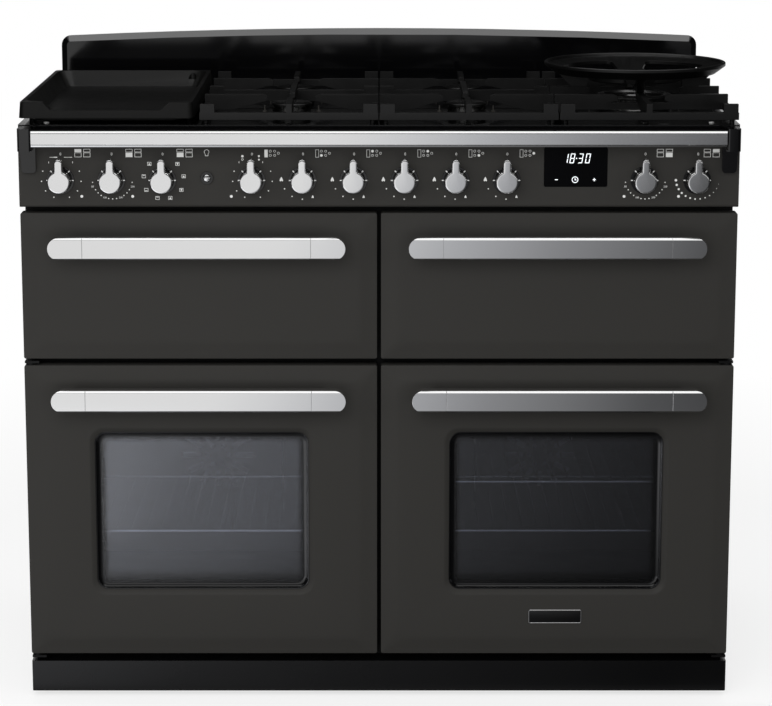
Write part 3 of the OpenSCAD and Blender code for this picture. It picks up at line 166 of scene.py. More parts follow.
# cast metal: fine pitted grain over slow swells of the mould
castGroup, given = newGroup("castSkin", {"Vector": None, "Scale": 700.0, "Roughness": 0.5, "Spread": 0.2},
                            ["Height", "Roughness", "Shade"])
pits = addNode(castGroup, "ShaderNodeTexVoronoi", {"Vector": given["Vector"], "Scale": given["Scale"]},
               feature="SMOOTH_F1")
swell = addNode(castGroup, "ShaderNodeTexNoise", {"Vector": given["Vector"], "Scale": 30.0, "Detail": 5.0})
endSkin(castGroup, given, mathNode(castGroup, "ADD", pits.outputs["Distance"], swell.outputs["Fac"]),
        swell.outputs["Fac"])


def bareMaterial(name):
    made = bpy.data.materials.new(name)
    made.use_nodes = True
    made.node_tree.nodes.clear()
    return made, made.node_tree


def startFinish(name, colour, shaderInputs):
    finish, tree = bareMaterial(name)
    shader = addNode(tree, "ShaderNodeBsdfPrincipled", {"Base Color": colour, **shaderInputs})
    addNode(tree, "ShaderNodeOutputMaterial", {"Surface": shader.outputs["BSDF"]})
    return finish, tree, shader


def skinFinish(name, group, colour, scale, roughness, spread, bump, shaderInputs=None, stretch=None):
    # one finish: a shared skin group drives roughness, shade and bump
    colour = screenColour(*colour)
    finish, tree, shader = startFinish(name, colour, shaderInputs or {})
    look = {"Vector": objectPlace(tree), "Scale": scale, "Roughness": roughness, "Spread": spread}
    if stretch:
        look["Stretch"] = stretch
    skin = addNode(tree, "ShaderNodeGroup", look, node_tree=group)
    tree.links.new(skin.outputs["Roughness"], shader.inputs["Roughness"])
    if "Shade" in skin.outputs:
        shade = addNode(tree, "ShaderNodeVectorMath", {0: colour[:3], "Scale": skin.outputs["Shade"]},
                        operation="SCALE")
        tree.links.new(shade.outputs[0], shader.inputs["Base Color"])
    relief = addNode(tree, "ShaderNodeBump",
                     {"Strength": 1.0, "Distance": bump * 1e-6, "Height": skin.outputs["Height"]})
    tree.links.new(relief.outputs["Normal"], shader.inputs["Normal"])
    return finish


inkNoise = {"scale": 2500.0, "dim": 0.8}


def glowFinish(name, colour, strength):
    # printed or lit marks: a fine noise dims the ink here and there; the glow of the panel's print inks is
    # painted light, while the clock's segments are really lit
    colour = screenColour(*colour)
    finish, tree, shader = startFinish(name, colour, {"Roughness": 0.5, "Emission Strength": strength})
    noise = addNode(tree, "ShaderNodeTexNoise",
                    {"Vector": objectPlace(tree), "Scale": inkNoise["scale"], "Detail": 2.0})
    ramp = addNode(tree, "ShaderNodeValToRGB", {"Fac": noise.outputs["Fac"]})
    ramp.color_ramp.elements[0].color = [part * inkNoise["dim"] for part in colour[:3]] + [1]
    ramp.color_ramp.elements[1].color = colour
    for socketName in ("Base Color", "Emission Color"):
        tree.links.new(ramp.outputs["Color"], shader.inputs[socketName])
    return finish


# skin, colour, grain scale, roughness, its spread, bump in thousandths of a millimetre, what else it needs
skins = {
    "slateEnamel": (enamelGroup, (50, 49, 47), 800, 0.5, 0.06, 20, {"Specular IOR Level": 0.12}),
    "blackGloss": (enamelGroup, (6, 6, 7), 600, 0.09, 0.04, 6, {"IOR": 1.55}),
    "blackSatin": (enamelGroup, (6, 6, 7), 900, 0.28, 0.08, 20),
    # near black finish for the chassis and hinges: painted shade, so the gaps between the doors read dark
    "frameBlack": (enamelGroup, (5, 5, 5), 900, 0.6, 0.1, 30, {"Specular IOR Level": 0.2}),
    "cavityEnamel": (castGroup, (30, 30, 31), 900, 0.4, 0.25, 20, {"Specular IOR Level": 0.2}),
    "zincSteel": (grainGroup, (178, 180, 182), 500, 0.4, 0.2, 20, {"Metallic": 1.0}, (0.05, 1.0, 1.0)),
    "chrome": (grainGroup, (233, 233, 233), 1800, 0.1, 0.04, 4, {"Metallic": 1.0}, (0.01, 1.0, 1.0)),
    "knobMetal": (castGroup, (233, 233, 233), 1600, 0.13, 0.05, 4, {"Metallic": 1.0}),
    "ovenWire": (grainGroup, (215, 216, 218), 900, 0.2, 0.1, 10, {"Metallic": 1.0}, (1.0, 0.05, 1.0)),
    "burnerMetal": (castGroup, (96, 96, 95), 900, 0.2, 0.2, 20, {"Metallic": 1.0}),
    "capEnamel": (castGroup, (9, 9, 9), 1200, 0.24, 0.15, 20),
    "castIron": (castGroup, (7, 7, 7), 700, 0.36, 0.2, 30, {"Specular IOR Level": 0.32}),
    "griddleCoat": (castGroup, (9, 9, 8), 1500, 0.42, 0.15, 20, {"Specular IOR Level": 0.2}),
    "polishedRing": (castGroup, (222, 222, 220), 1200, 0.12, 0.1, 10, {"Metallic": 1.0}),
    "ceramic": (enamelGroup, (62, 60, 57), 1500, 0.3, 0.1, 20),
    "gasBrass": (castGroup, (190, 160, 100), 800, 0.35, 0.2, 30, {"Metallic": 1.0}),
    "switchPlastic": (castGroup, (44, 44, 46), 2000, 0.5, 0.1, 40),
    "clockGlass": (enamelGroup, (5, 5, 6), 300, 0.06, 0.03, 2, {"Specular IOR Level": 0.06}),
    "hobGlass": (enamelGroup, (8, 8, 9), 300, 0.08, 0.05, 2),
    "elementSteel": (castGroup, (74, 68, 62), 900, 0.45, 0.3, 30, {"Metallic": 1.0}),
    "sealRubber": (castGroup, (30, 30, 30), 2500, 0.7, 0.1, 100),
    "paneDots": (enamelGroup, (7, 7, 8), 1200, 0.1, 0.05, 2),
    "paleScrew": (castGroup, (214, 214, 212), 1500, 0.3, 0.1, 10, {"Metallic": 0.4}),
}
# colour, strength of the glow; on the two print inks that glow is a painted brightening, not a lamp
glows = {"printInk": ((226, 226, 224), 0.12), "paleInk": ((124, 123, 120), 0.02),
         "neonOff": ((92, 90, 86), 0.0), "litSegment": ((236, 240, 243), 0.8),
         "touchMark": ((120, 124, 128), 0.3)}
finishes = {name: skinFinish(name, *look) for name, look in skins.items()}
finishes.update({name: glowFinish(name, *look) for name, look in glows.items()})

# tinted panes of the oven doors
windowPane = {"tint": (226, 228, 234), "ior": 1.52, "hazeScale": 7.0, "roughness": (0.01, 0.035)}
finishes["windowPane"], tree, shader = startFinish("windowPane", screenColour(*windowPane["tint"]), {
    "Transmission Weight": 1.0, "IOR": windowPane["ior"]})
haze = addNode(tree, "ShaderNodeTexNoise",
               {"Vector": objectPlace(tree), "Scale": windowPane["hazeScale"], "Detail": 3.0})
rough = addNode(tree, "ShaderNodeMapRange", {
    "Value": haze.outputs["Fac"], "To Min": windowPane["roughness"][0], "To Max": windowPane["roughness"][1]})
tree.links.new(rough.outputs["Result"], shader.inputs["Roughness"])
print("finishes made:", len(finishes))


# mesh helpers
def toMesh(work, name, angle=35):
    bmesh.ops.remove_doubles(work, verts=work.verts, dist=1e-6)
    bmesh.ops.recalc_face_normals(work, faces=work.faces)
    mesh = bpy.data.meshes.new(name)
    work.to_mesh(mesh)
    work.free()
    smoothBelow(mesh, angle)
    return mesh


def settle(name, mesh, body, finish, replaced=()):
    # names the piece, gives it its finish and ties it to its body
    piece = linked(name, mesh)
    mesh.materials.clear()
    wanted = finish if isinstance(finish, list) else [finish]
    for one in wanted:
        mesh.materials.append(finishes[one])
    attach(piece, body)
    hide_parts(*replaced)


def smoothBelow(mesh, angle):
    mesh.shade_smooth()
    mesh.set_sharp_from_angle(angle=math.radians(angle))


def appliedMesh(piece):
    dependencies = bpy.context.evaluated_depsgraph_get()
    mesh = bpy.data.meshes.new_from_object(piece.evaluated_get(dependencies), depsgraph=dependencies)
    bpy.data.objects.remove(piece)
    return mesh


# largest gap in metres that is closed, largest angle in degrees that counts as flat and as smooth
softLook = {"merge": 2e-6, "flat": 0.4, "smooth": 30, "segments": 2}


def softened(node, width, wider=None, reshape=None):
    # copy of a CAD node with merged points, flat faces in one piece and rounded edges;
    # wider is an edge width with a test that says which edges get it
    work = bmesh.new()
    work.from_mesh(cadNodes[node].data)
    bmesh.ops.remove_doubles(work, verts=work.verts, dist=softLook["merge"])
    bmesh.ops.dissolve_limit(work, angle_limit=math.radians(softLook["flat"]), verts=work.verts,
                             edges=work.edges)
    if reshape:
        reshape(work)
    mesh = bpy.data.meshes.new(node + "Soft")
    work.to_mesh(mesh)
    work.free()
    smoothBelow(mesh, softLook["smooth"])
    if width <= 0:
        return mesh
    piece = linked(node + "Soft", mesh)
    bevel = piece.modifiers.new("softEdge", "BEVEL")
    bevel.width = max(width, wider[0] if wider else 0) * 0.001
    bevel.segments = softLook["segments"]
    if wider:
        weights = mesh.attributes.new("bevel_weight_edge", "FLOAT", "EDGE")
        sharp = mesh.attributes["sharp_edge"].data
        for index, edge in enumerate(mesh.edges):
            if sharp[index].value:
                picked = wider[1](*[mesh.vertices[i].co for i in edge.vertices])
                weights.data[index].value = 1.0 if picked else width / wider[0]
        bevel.limit_method = "WEIGHT"
    else:
        bevel.limit_method = "ANGLE"
        bevel.angle_limit = math.radians(softLook["smooth"])
    bevel.harden_normals = True
    bevel.use_clamp_overlap = True
    return appliedMesh(piece)


def arcPoints(radius, start, sweep, steps, x=0.0, y=0.0):
    # both ends of the arc are there; degrees
    angles = [math.radians(start + sweep * step / steps) for step in range(steps + 1)]
    return [(x + radius * math.cos(angle), y + radius * math.sin(angle)) for angle in angles]


def circlePoints(radius, count, x=0.0, y=0.0):
    return arcPoints(radius, 0, 360, count, x, y)[:-1]


def roundedRing(width, height, radius, depth, centre):
    # points of a rounded rectangle that faces the front
    ring = []
    for turn, (sideX, sideZ) in enumerate(((1, 1), (-1, 1), (-1, -1), (1, -1))):
        ring += arcPoints(radius, 90 * turn, 90, 8, centre[0] + sideX * (width / 2 - radius),
                          centre[1] + sideZ * (height / 2 - radius))
    return [(x, depth, z) for x, z in ring]


def loft(work, rings, closed=False, capFirst=False, capLast=False):
    loops = [[work.verts.new(at(*point)) for point in ring] for ring in rings]
    pairs = list(zip(loops, loops[1:])) + ([(loops[-1], loops[0])] if closed else [])
    for first, second in pairs:
        for index in range(len(first)):
            following = (index + 1) % len(first)
            work.faces.new((first[index], first[following], second[following], second[index]))
    for loop, wanted in ((loops[0], capFirst), (loops[-1], capLast)):
        if wanted:
            work.faces.new(loop)


# CAD nodes that keep their shape and only get a finish
plainFinish = {
    # the chassis and hinges get the near black finish, which paints the shade in the gaps between the doors
    "frameBlack": ["chassis", "door_hinges"], "blackSatin": ["side_panels"], "ovenWire": ["oven_racks"],
    "zincSteel": ["rear_panel", "telescopic_rails", "fan_motors", "left_oven_fan", "right_oven_fan",
                  "levelling_feet", "drawer_box"],
    "elementSteel": ["heating_elements"], "ceramic": ["igniters"], "gasBrass": ["gas_rail"],
    "switchPlastic": ["switches_and_clock"], "sealRubber": ["oven_seals"],
    "windowPane": ["left_door_glass", "right_door_glass"], "hobGlass": ["hotplate_glass"],
    "clockGlass": ["display_glass"], "cavityEnamel": ["grill_liner", "oven_liners", "grill_pan"],
}
for finish, nodes in plainFinish.items():
    for node in nodes:
        materials = cadNodes[node].data.materials
        materials.clear()
        materials.append(finishes[finish])
print("plain nodes finished:", sum(map(len, plainFinish.values())))

# the hob's front edge is rounder than its other edges
hobEdge = {"width": 2.2, "near": 0.05}
hobCorner = at(0, boxMm("hob_tray")[0].y + hobEdge["near"], hobTop - hobEdge["near"])


def onHobEdge(first, second):
    return max(first.y, second.y) < hobCorner.y and min(first.z, second.z) > hobCorner.z


railShape = {"near": 0.1,
             # depth of each groove, share of the rail's height that it lies above
             "grooves": [(0.8, 0.6), (1.6, 0.0)],
             # depth where the slants end; how far back the lower lip goes, and which points go with it
             "slantEnd": 0.03, "lipBack": 2.0, "lipReach": 5}


def railGrooves(work):
    # both grooves of the rail cut in at a slant, and its lower lip goes back
    low, high = boxMm("handrail")
    front, near = at(0, low.y, 0).y, railShape["near"]
    places = [(vert, (vert.co.y - front) * 1000, vert.co.z * 1000 - low.z) for vert in work.verts]
    for groove, share in railShape["grooves"]:
        found = [(vert, rise) for vert, depth, rise in places
                 if abs(depth - groove) < near and rise > (high.z - low.z) * share]
        top = max(rise for vert, rise in found)
        for vert, rise in found:
            if top - rise < near / 10:
                vert.co.y = front + railShape["slantEnd"] * 0.001
    for vert, depth, rise in places:
        if rise < near and depth < railShape["lipReach"]:
            vert.co.y = front + railShape["lipBack"] * 0.001


# CAD nodes that get rounded edges: node, finish, edge width
softEdges = [
    ("plinth", "blackSatin", 1.0), ("hob_tray", "blackGloss", 0.3), ("backguard", "blackGloss", 0.8),
    ("burner_heads", "burnerMetal", 0.4), ("burner_caps", "capEnamel", 0.4),
    ("control_panel", "slateEnamel", 0.6), ("handrail", "chrome", 0.0),
    ("handrail_brackets", "blackGloss", 1.5), ("knob_bezels", "blackGloss", 0.4),
    ("griddle", "griddleCoat", 1.5), ("pan_support_left", "castIron", 1.2),
    ("pan_support_centre", "castIron", 1.2), ("pan_support_right", "castIron", 1.2),
    ("wok_ring", "castIron", 1.0), ("light_button", "chrome", 0.0),
    ("grill_door_liner", "cavityEnamel", 0.8), ("left_door_liner", "cavityEnamel", 0.8),
    ("right_door_liner", "cavityEnamel", 0.8), ("grill_door_handle", "chrome", 0.7),
    ("drawer_handle", "chrome", 0.7), ("left_door_handle", "chrome", 0.7),
    ("right_door_handle", "chrome", 0.7),
]
for node, finish, width in softEdges:
    wider = (hobEdge["width"], onHobEdge) if node == "hob_tray" else None
    mesh = softened(node, width, wider=wider, reshape=railGrooves if node == "handrail" else None)
    settle(node + ".finished", mesh, bodyOf[node], finish, [node])
print("soft edged nodes:", len(softEdges))

# pressed door fronts, and the black moulding around the oven windows
doorFront = {
    "edgeRadius": 3, "fieldRadius": 16, "depth": 30, "fall": 6, "border": 27,
    # inset from the edge, share of the fall that is left
    "slope": [(0, 1.0), (0.25, 0.93), (0.9, 0.895), (3.5, 0.85), (20, 0.24), (24, 0.10), (28, 0.025),
              (32, 0.0)],
    "window": (346, 267), "windowRadius": 22, "windowRise": 231.2,
    # inset from the window's outer edge, depth
    "lip": [(-1.5, 0.0), (-0.5, 0.12), (0.6, 0.5), (2.2, 1.3), (6.2, 3.9), (7.3, 4.9), (7.6, 6.0), (7.6, 30)],
    "moulding": [(7.3, 5.4), (8.0, 5.0), (8.9, 5.3), (9.8, 6.6), (11.6, 9.2), (13.6, 10.8), (15.4, 11.2),
                 (15.6, 11.9), (7.3, 11.9)],
}


def windowRing(inset, depth, centre):
    wide, tall = doorFront["window"]
    radius = doorFront["windowRadius"] - 0.6 * max(inset, 0)
    return roundedRing(wide - 2 * inset, tall - 2 * inset, radius, depth, centre)


def windowRings(node, profile):
    low, high = boxMm(node)
    centre = ((low.x + high.x) / 2, low.z + doorFront["windowRise"])
    return [windowRing(inset, depth, centre) for inset, depth in doorFront[profile]]


def doorFrontMesh(node, windowed):
    low, high = boxMm(node)
    width, height = high.x - low.x, high.z - low.z
    centre = ((low.x + high.x) / 2, (low.z + high.z) / 2)
    look = doorFront
    rings = [roundedRing(width, height, look["edgeRadius"], look["depth"], centre)]
    for inset, share in look["slope"]:
        along = min(inset / look["border"], 1)
        radius = look["edgeRadius"] + (look["fieldRadius"] - look["edgeRadius"]) * along
        rings.append(roundedRing(width - 2 * inset, height - 2 * inset, radius, look["fall"] * share, centre))
    work = bmesh.new()
    if windowed:
        loft(work, rings + windowRings(node, "lip"), closed=True)
    else:
        loft(work, rings, capFirst=True, capLast=True)
    return toMesh(work, node + "Front", 40)


for node, windowed in (("grill_door_panel", False), ("drawer_front", False), ("left_door_panel", True),
                       ("right_door_panel", True)):
    settle(node + ".pressed", doorFrontMesh(node, windowed), bodyOf[node], "slateEnamel", [node])
for node in ("left_door_panel", "right_door_panel"):
    work = bmesh.new()
    loft(work, windowRings(node, "moulding"), closed=True)
    settle(node + ".moulding", toMesh(work, node + "Moulding"), bodyOf[node], "blackGloss")
print("door fronts pressed")


# what repeats: each form is a node tree that sets copies on the points of a seed mesh
def newForm(name, inputs):
    kinds = {float: "NodeSocketFloat", int: "NodeSocketInt", type(None): "NodeSocketObject"}
    tree = bpy.data.node_groups.new(name, "GeometryNodeTree")
    tree.interface.new_socket(name="Geometry", in_out="INPUT", socket_type="NodeSocketGeometry")
    for socketName, value in inputs.items():
        socket = tree.interface.new_socket(name=socketName, in_out="INPUT", socket_type=kinds[type(value)])
        if value is not None:
            socket.default_value = value
    tree.interface.new_socket(name="Material", in_out="INPUT", socket_type="NodeSocketMaterial")
    tree.interface.new_socket(name="Geometry", in_out="OUTPUT", socket_type="NodeSocketGeometry")
    return tree, addNode(tree, "NodeGroupInput").outputs


def endForm(tree, given, instances):
    # copies become plain geometry, with the finish set
    real = addNode(tree, "GeometryNodeRealizeInstances", {0: instances})
    painted = addNode(tree, "GeometryNodeSetMaterial",
                      {"Geometry": real.outputs[0], "Material": given["Material"]})
    addNode(tree, "NodeGroupOutput", {"Geometry": painted.outputs["Geometry"]})


def formMesh(tree, seed, finish, sizes):
    holder = linked(tree.name + "Seed", seed)
    modifier = holder.modifiers.new(tree.name, "NODES")
    modifier.node_group = tree
    values = {"Material": finishes[finish], **sizes}
    for item in tree.interface.items_tree:
        if item.item_type == "SOCKET" and item.in_out == "INPUT" and item.name in values:
            modifier[item.identifier] = values[item.name]
    return appliedMesh(holder)


def seedMesh(name, points, edges=(), numbers=None, vectors=None):
    mesh = bpy.data.meshes.new(name)
    mesh.from_pydata([tuple(at(*point)) for point in points], list(edges), [])
    for label, values in (numbers or {}).items():
        layer = mesh.attributes.new(label, "FLOAT", "POINT")
        layer.data.foreach_set("value", values)
    for label, values in (vectors or {}).items():
        layer = mesh.attributes.new(label, "FLOAT_VECTOR", "POINT")
        layer.data.foreach_set("vector", [part for value in values for part in value])
    return mesh


def arcForm(name, inputs, markKind, markInputs, aimed):
    # marks along arcs: each seed point is the middle of one arc
    tree, given = newForm(name, {"Radius": 0.03, "Start Angle": 0.0, "Step Angle": 0.5, "Count": 4, **inputs})
    order = addNode(tree, "GeometryNodeInputIndex")
    turned = mathNode(tree, "MULTIPLY_ADD", order.outputs[0], given["Step Angle"], given["Start Angle"])
    spot = addNode(tree, "ShaderNodeCombineXYZ", {
        axis: mathNode(tree, "MULTIPLY", mathNode(tree, operation, turned), given["Radius"])
        for axis, operation in (("X", "COSINE"), ("Z", "SINE"))})
    row = addNode(tree, "GeometryNodePoints", {"Count": given["Count"], "Position": spot.outputs[0]})
    mark = addNode(tree, markKind, {key: given[source] if isinstance(source, str) else source
                                    for key, source in markInputs.items()})
    if markKind == "GeometryNodeMeshCircle":
        mark.fill_type = "NGON"
    turn = (math.pi / 2, 0, 0)
    if aimed:
        turn = addNode(tree, "ShaderNodeCombineXYZ", {
            "X": math.pi / 2, "Y": mathNode(tree, "MULTIPLY", turned, -1.0)}).outputs[0]
    arc = addNode(tree, "GeometryNodeInstanceOnPoints", {
        "Points": row.outputs[0], "Instance": mark.outputs["Mesh"], "Rotation": turn})
    spread = addNode(tree, "GeometryNodeInstanceOnPoints",
                     {"Points": given["Geometry"], "Instance": arc.outputs[0]})
    endForm(tree, given, spread.outputs[0])
    return tree


dotArc = arcForm("dotArc", {"Dot Radius": 0.0008}, "GeometryNodeMeshCircle",
                 {"Vertices": 12, "Radius": "Dot Radius"}, False)
tickArc = arcForm("tickArc", {"Length": 0.003, "Width": 0.0012}, "GeometryNodeMeshGrid",
                  {"Size X": "Length", "Size Y": "Width", "Vertices X": 2, "Vertices Y": 2}, True)

# printed dots that shrink towards the middle of a pane: each seed loop is one row
dotRow, given = newForm("dotRow", {"Spacing": 0.0026, "Dot Radius": 0.0012})
line = addNode(dotRow, "GeometryNodeMeshToCurve", {0: given["Geometry"]})
row = addNode(dotRow, "GeometryNodeCurveToPoints", {"Curve": line.outputs[0], "Length": given["Spacing"]},
              mode="LENGTH")
dot = addNode(dotRow, "GeometryNodeMeshCircle", {"Vertices": 8, "Radius": given["Dot Radius"]},
              fill_type="NGON")
share = addNode(dotRow, "GeometryNodeInputNamedAttribute", {"Name": "dotSize"}, data_type="FLOAT")
spread = addNode(dotRow, "GeometryNodeInstanceOnPoints", {
    "Points": row.outputs["Points"], "Instance": dot.outputs["Mesh"], "Rotation": (math.pi / 2, 0, 0),
    "Scale": share.outputs["Attribute"]})
endForm(dotRow, given, spread.outputs[0])

# screws: a head that stands on each seed point, along the point's facing
screwRow, given = newForm("screwRow", {"Head": None, "Size": 1.0})
head = addNode(screwRow, "GeometryNodeObjectInfo", {"Object": given["Head"]})
facing = addNode(screwRow, "GeometryNodeInputNamedAttribute", {"Name": "facing"}, data_type="FLOAT_VECTOR")
aimed = addNode(screwRow, "FunctionNodeAlignRotationToVector", {"Vector": facing.outputs["Attribute"]},
                axis="Z")
spread = addNode(screwRow, "GeometryNodeInstanceOnPoints", {
    "Points": given["Geometry"], "Instance": head.outputs["Geometry"], "Rotation": aimed.outputs[0],
    "Scale": given["Size"]})
endForm(screwRow, given, spread.outputs[0])

# rows of dots on the front panes: inset, share of the dot's size
paneBorder = {"rows": [(16.7, 1.08), (19.2, 0.84), (21.7, 0.6), (24.2, 0.36)],
              "spacing": 0.0026, "dot": 0.0013}
for side in ("left", "right"):
    paneLow, paneHigh = boxMm(side + "_door_glass")
    doorLow = boxMm(side + "_door_panel")[0]
    windowCentre = ((paneLow.x + paneHigh.x) / 2, doorLow.z + doorFront["windowRise"])
    points, edges, shares = [], [], []
    for inset, share in paneBorder["rows"]:
        ring = windowRing(inset, paneLow.y - 0.05, windowCentre)
        first = len(points)
        points += ring
        edges += [(first + i, first + (i + 1) % len(ring)) for i in range(len(ring))]
        shares += [share] * len(ring)
    seed = seedMesh("paneBorder", points, edges, {"dotSize": shares})
    bpy.context.view_layer.update()
    mesh = formMesh(dotRow, seed, "paneDots",
                    {"Spacing": paneBorder["spacing"], "Dot Radius": paneBorder["dot"]})
    settle(side + "_door_glass.dots", mesh, bodyOf[side + "_door_glass"], "paneDots")

# screw head: a low dome with a cross recess
screwHead = {"radius": 4.2, "cross": 0.42, "deep": 0.9, "sides": 16,
             # share of the radius, height
             "dome": [(1.0, 0.0), (1.0, 0.55), (0.93, 1.21), (0.78, 1.76), (0.55, 2.068), (0.3, 2.2)]}


def screwTemplate():
    look, work = screwHead, bmesh.new()
    loops = []
    for reach, rise in look["dome"]:
        points = circlePoints(look["radius"] * 0.001 * reach, look["sides"])
        loops.append([work.verts.new((x, y, rise * 0.001)) for x, y in points])
    # the inmost loop drops into a four-armed recess
    recess = []
    for index, vert in enumerate(loops[-1]):
        draw = look["cross"] if index % 4 == 2 else 1.05
        recess.append(work.verts.new((vert.co.x * draw, vert.co.y * draw, vert.co.z - look["deep"] * 0.001)))
    loops.append(recess)
    for first, second in zip(loops, loops[1:]):
        for i in range(look["sides"]):
            following = (i + 1) % look["sides"]
            work.faces.new((first[i], first[following], second[following], second[i]))
    work.faces.new(loops[0][::-1])
    work.faces.new(recess)
    return linked("screwHead", toMesh(work, "screwHead"))


# screws stand on the hob beside the griddle, and around the edge of the rear panel
rearLow, rearHigh = boxMm("rear_panel")
rearScrews = {"sideInset": 9, "endInset": 24, "rows": 6, "columns": (-360, -120, 120, 360)}
rearStep = (rearHigh.z - rearLow.z - 2 * rearScrews["endInset"]) / (rearScrews["rows"] - 1)
rearPlaces = [(x, rearHigh.y - 0.05, rearLow.z + rearScrews["endInset"] + i * rearStep)
              for x in (rearLow.x + rearScrews["sideInset"], rearHigh.x - rearScrews["sideInset"])
              for i in range(rearScrews["rows"])]
rearPlaces += [(x, rearHigh.y - 0.05, z) for x in rearScrews["columns"]
               for z in (rearLow.z + rearScrews["sideInset"], rearHigh.z - rearScrews["sideInset"])]
screwSpots = {
    "hobScrews": {"finish": "paleScrew", "facing": (0, 0, 1), "size": 1.0,
                  "places": [(-505, 27, hobTop - 0.05), (505, 27, hobTop - 0.05)]},
    "rearScrews": {"finish": "zincSteel", "facing": (0, 1, 0), "size": 1.15, "places": rearPlaces},
}
template = screwTemplate()
for name, look in screwSpots.items():
    seed = seedMesh(name, look["places"], vectors={"facing": [look["facing"]] * len(look["places"])})
    mesh = formMesh(screwRow, seed, look["finish"], {"Head": template, "Size": look["size"]})
    smoothBelow(mesh, 35)
    settle(name, mesh, "root", look["finish"])
bpy.data.objects.remove(template)
print("repeated forms set")

# knobs: a keyhole face on a round skirt
knobLook = {"radius": 16.7, "pointer": 12.0, "reach": 34.6, "front": -30.0,
            # how far inside the disc's edge, depth
            "skirt": [(0.8, -20), (0.5, -6), (0.0, -2), (0.0, -0.5)], "skirtSides": 45,
            # inset from the outline, distance behind the front plane
            "edge": [(0.0, 15.0), (0.0, 1.8), (0.25, 1.0), (0.9, 0.35), (1.9, 0.06), (3.2, 0.0)],
            # where the pointer leaves the disc: share of the angle, then how far out and how far up
            "fillet": 1.2, "neck": [(0.25, 0.9), (0.0, 2.4)], "discSteps": 40, "tipSteps": 12}


def keyhole(inset):
    # disc with a pointer that rises from it, both drawn in by the inset
    radius = knobLook["radius"] - inset
    half = knobLook["pointer"] / 2 - inset
    tip = knobLook["reach"] - knobLook["pointer"] / 2
    meet = math.degrees(math.asin(min(half / radius, 1)))
    neck = math.sqrt(radius * radius - half * half)
    start = 90 + meet * knobLook["fillet"]
    sides = [(half + out, neck + up) for out, up in knobLook["neck"]]
    return (arcPoints(radius, start, 540 - 2 * start, knobLook["discSteps"]) + sides
            + arcPoints(half, 0, 180, knobLook["tipSteps"], 0, tip) + [(-x, z) for x, z in reversed(sides)])


def knobMesh(node, turnX, turnZ):
    work = bmesh.new()
    rings = []
    for inset, behind in knobLook["edge"]:
        rings.append([(turnX + x, knobLook["front"] + behind, turnZ + z) for x, z in keyhole(inset)])
    loft(work, rings, capFirst=True, capLast=True)
    skirt = []
    for inset, depth in knobLook["skirt"]:
        points = circlePoints(knobLook["radius"] - inset, knobLook["skirtSides"], turnX, turnZ)
        skirt.append([(x, depth, z) for x, z in points])
    loft(work, skirt, capFirst=True, capLast=True)
    return toMesh(work, node + "Keyhole")


knobNodes = [node for node in cadNodes if node.endswith("_knob") or node.startswith("burner_knob_")]
knobAxis = {}
for node in sorted(knobNodes):
    low, high = boxMm(node)
    knobAxis[node] = ((low.x + high.x) / 2, low.z + knobLook["radius"])
    settle(node + ".face", knobMesh(node, *knobAxis[node]), bodyOf[node], "knobMetal", [node])
print("knobs made:", len(knobNodes))

# marks printed on the control panel
inkLift = 0.12


class InkSheet:
    # flat marks gathered in one mesh, each with the number of its ink
    def __init__(self, plane):
        self.work = bmesh.new()
        self.plane = plane

    def shape(self, points, ink=0):
        face = self.work.faces.new([self.work.verts.new(at(x, self.plane, z)) for x, z in points])
        face.material_index = ink

    def disc(self, x, z, radius, ink=0, count=14):
        self.shape(circlePoints(radius, count, x, z), ink)

    def bar(self, x0, z0, x1, z1, ink=0):
        self.shape([(x0, z0), (x1, z0), (x1, z1), (x0, z1)], ink)

    def frame(self, x0, z0, x1, z1, line=0.5, ink=0):
        self.bar(x0, z0, x1, z0 + line, ink)
        self.bar(x0, z1 - line, x1, z1, ink)
        self.bar(x0, z0 + line, x0 + line, z1 - line, ink)
        self.bar(x1 - line, z0 + line, x1, z1 - line, ink)

    def ring(self, x, z, radius, line=0.5, ink=0, start=0, sweep=360, count=28):
        outer, inner = [arcPoints(reach, start, sweep, count, x, z) for reach in (radius, radius - line)]
        for i in range(count):
            self.shape([outer[i], outer[i + 1], inner[i + 1], inner[i]], ink)

    def text(self, words, x, z, size, ink=0):
        curve = bpy.data.curves.new("mark", "FONT")
        curve.body, curve.size, curve.resolution_u = words, size, 3
        curve.align_x = curve.align_y = "CENTER"
        holder = linked("mark", curve)
        mesh = appliedMesh(holder)
        points = [self.work.verts.new(at(x + v.co.x, self.plane, z + v.co.y)) for v in mesh.vertices]
        for polygon in mesh.polygons:
            face = self.work.faces.new([points[i] for i in polygon.vertices])
            face.material_index = ink
        bpy.data.meshes.remove(mesh)

    def finish(self, name, inks):
        mesh = bpy.data.meshes.new(name)
        # marks face the front
        for face in self.work.faces:
            face.normal_update()
            if face.normal.y > 0:
                face.normal_flip()
        self.work.to_mesh(mesh)
        self.work.free()
        settle(name, mesh, "root", inks)


panelMarks = {
    "zeroHeight": 39.6, "zeroSize": 6.0, "shift": (1.4, 1.7), "gasShift": (-0.4, 1.7),
    "ovenIcon": {"cell": 10.4, "top": 4.8, "low": 6.9, "gap": 3.1, "rise": 47.5, "split": 0.7},
    "hobIcon": {"plate": (5.2, 11.8), "dot": 2.1, "rise": 46.6, "offset": 19.8,
                "columns": (9.0, 15.4, 21.2), "rows": (-2.4, -5.6, -8.8)},
}
gasKnobs = ["burner_knob_%d" % i for i in range(1, 6)]
ink = InkSheet(-inkLift)
for node in knobNodes:
    x, z = knobAxis[node]
    ink.text("0", x + 1, z + panelMarks["zeroHeight"], panelMarks["zeroSize"])


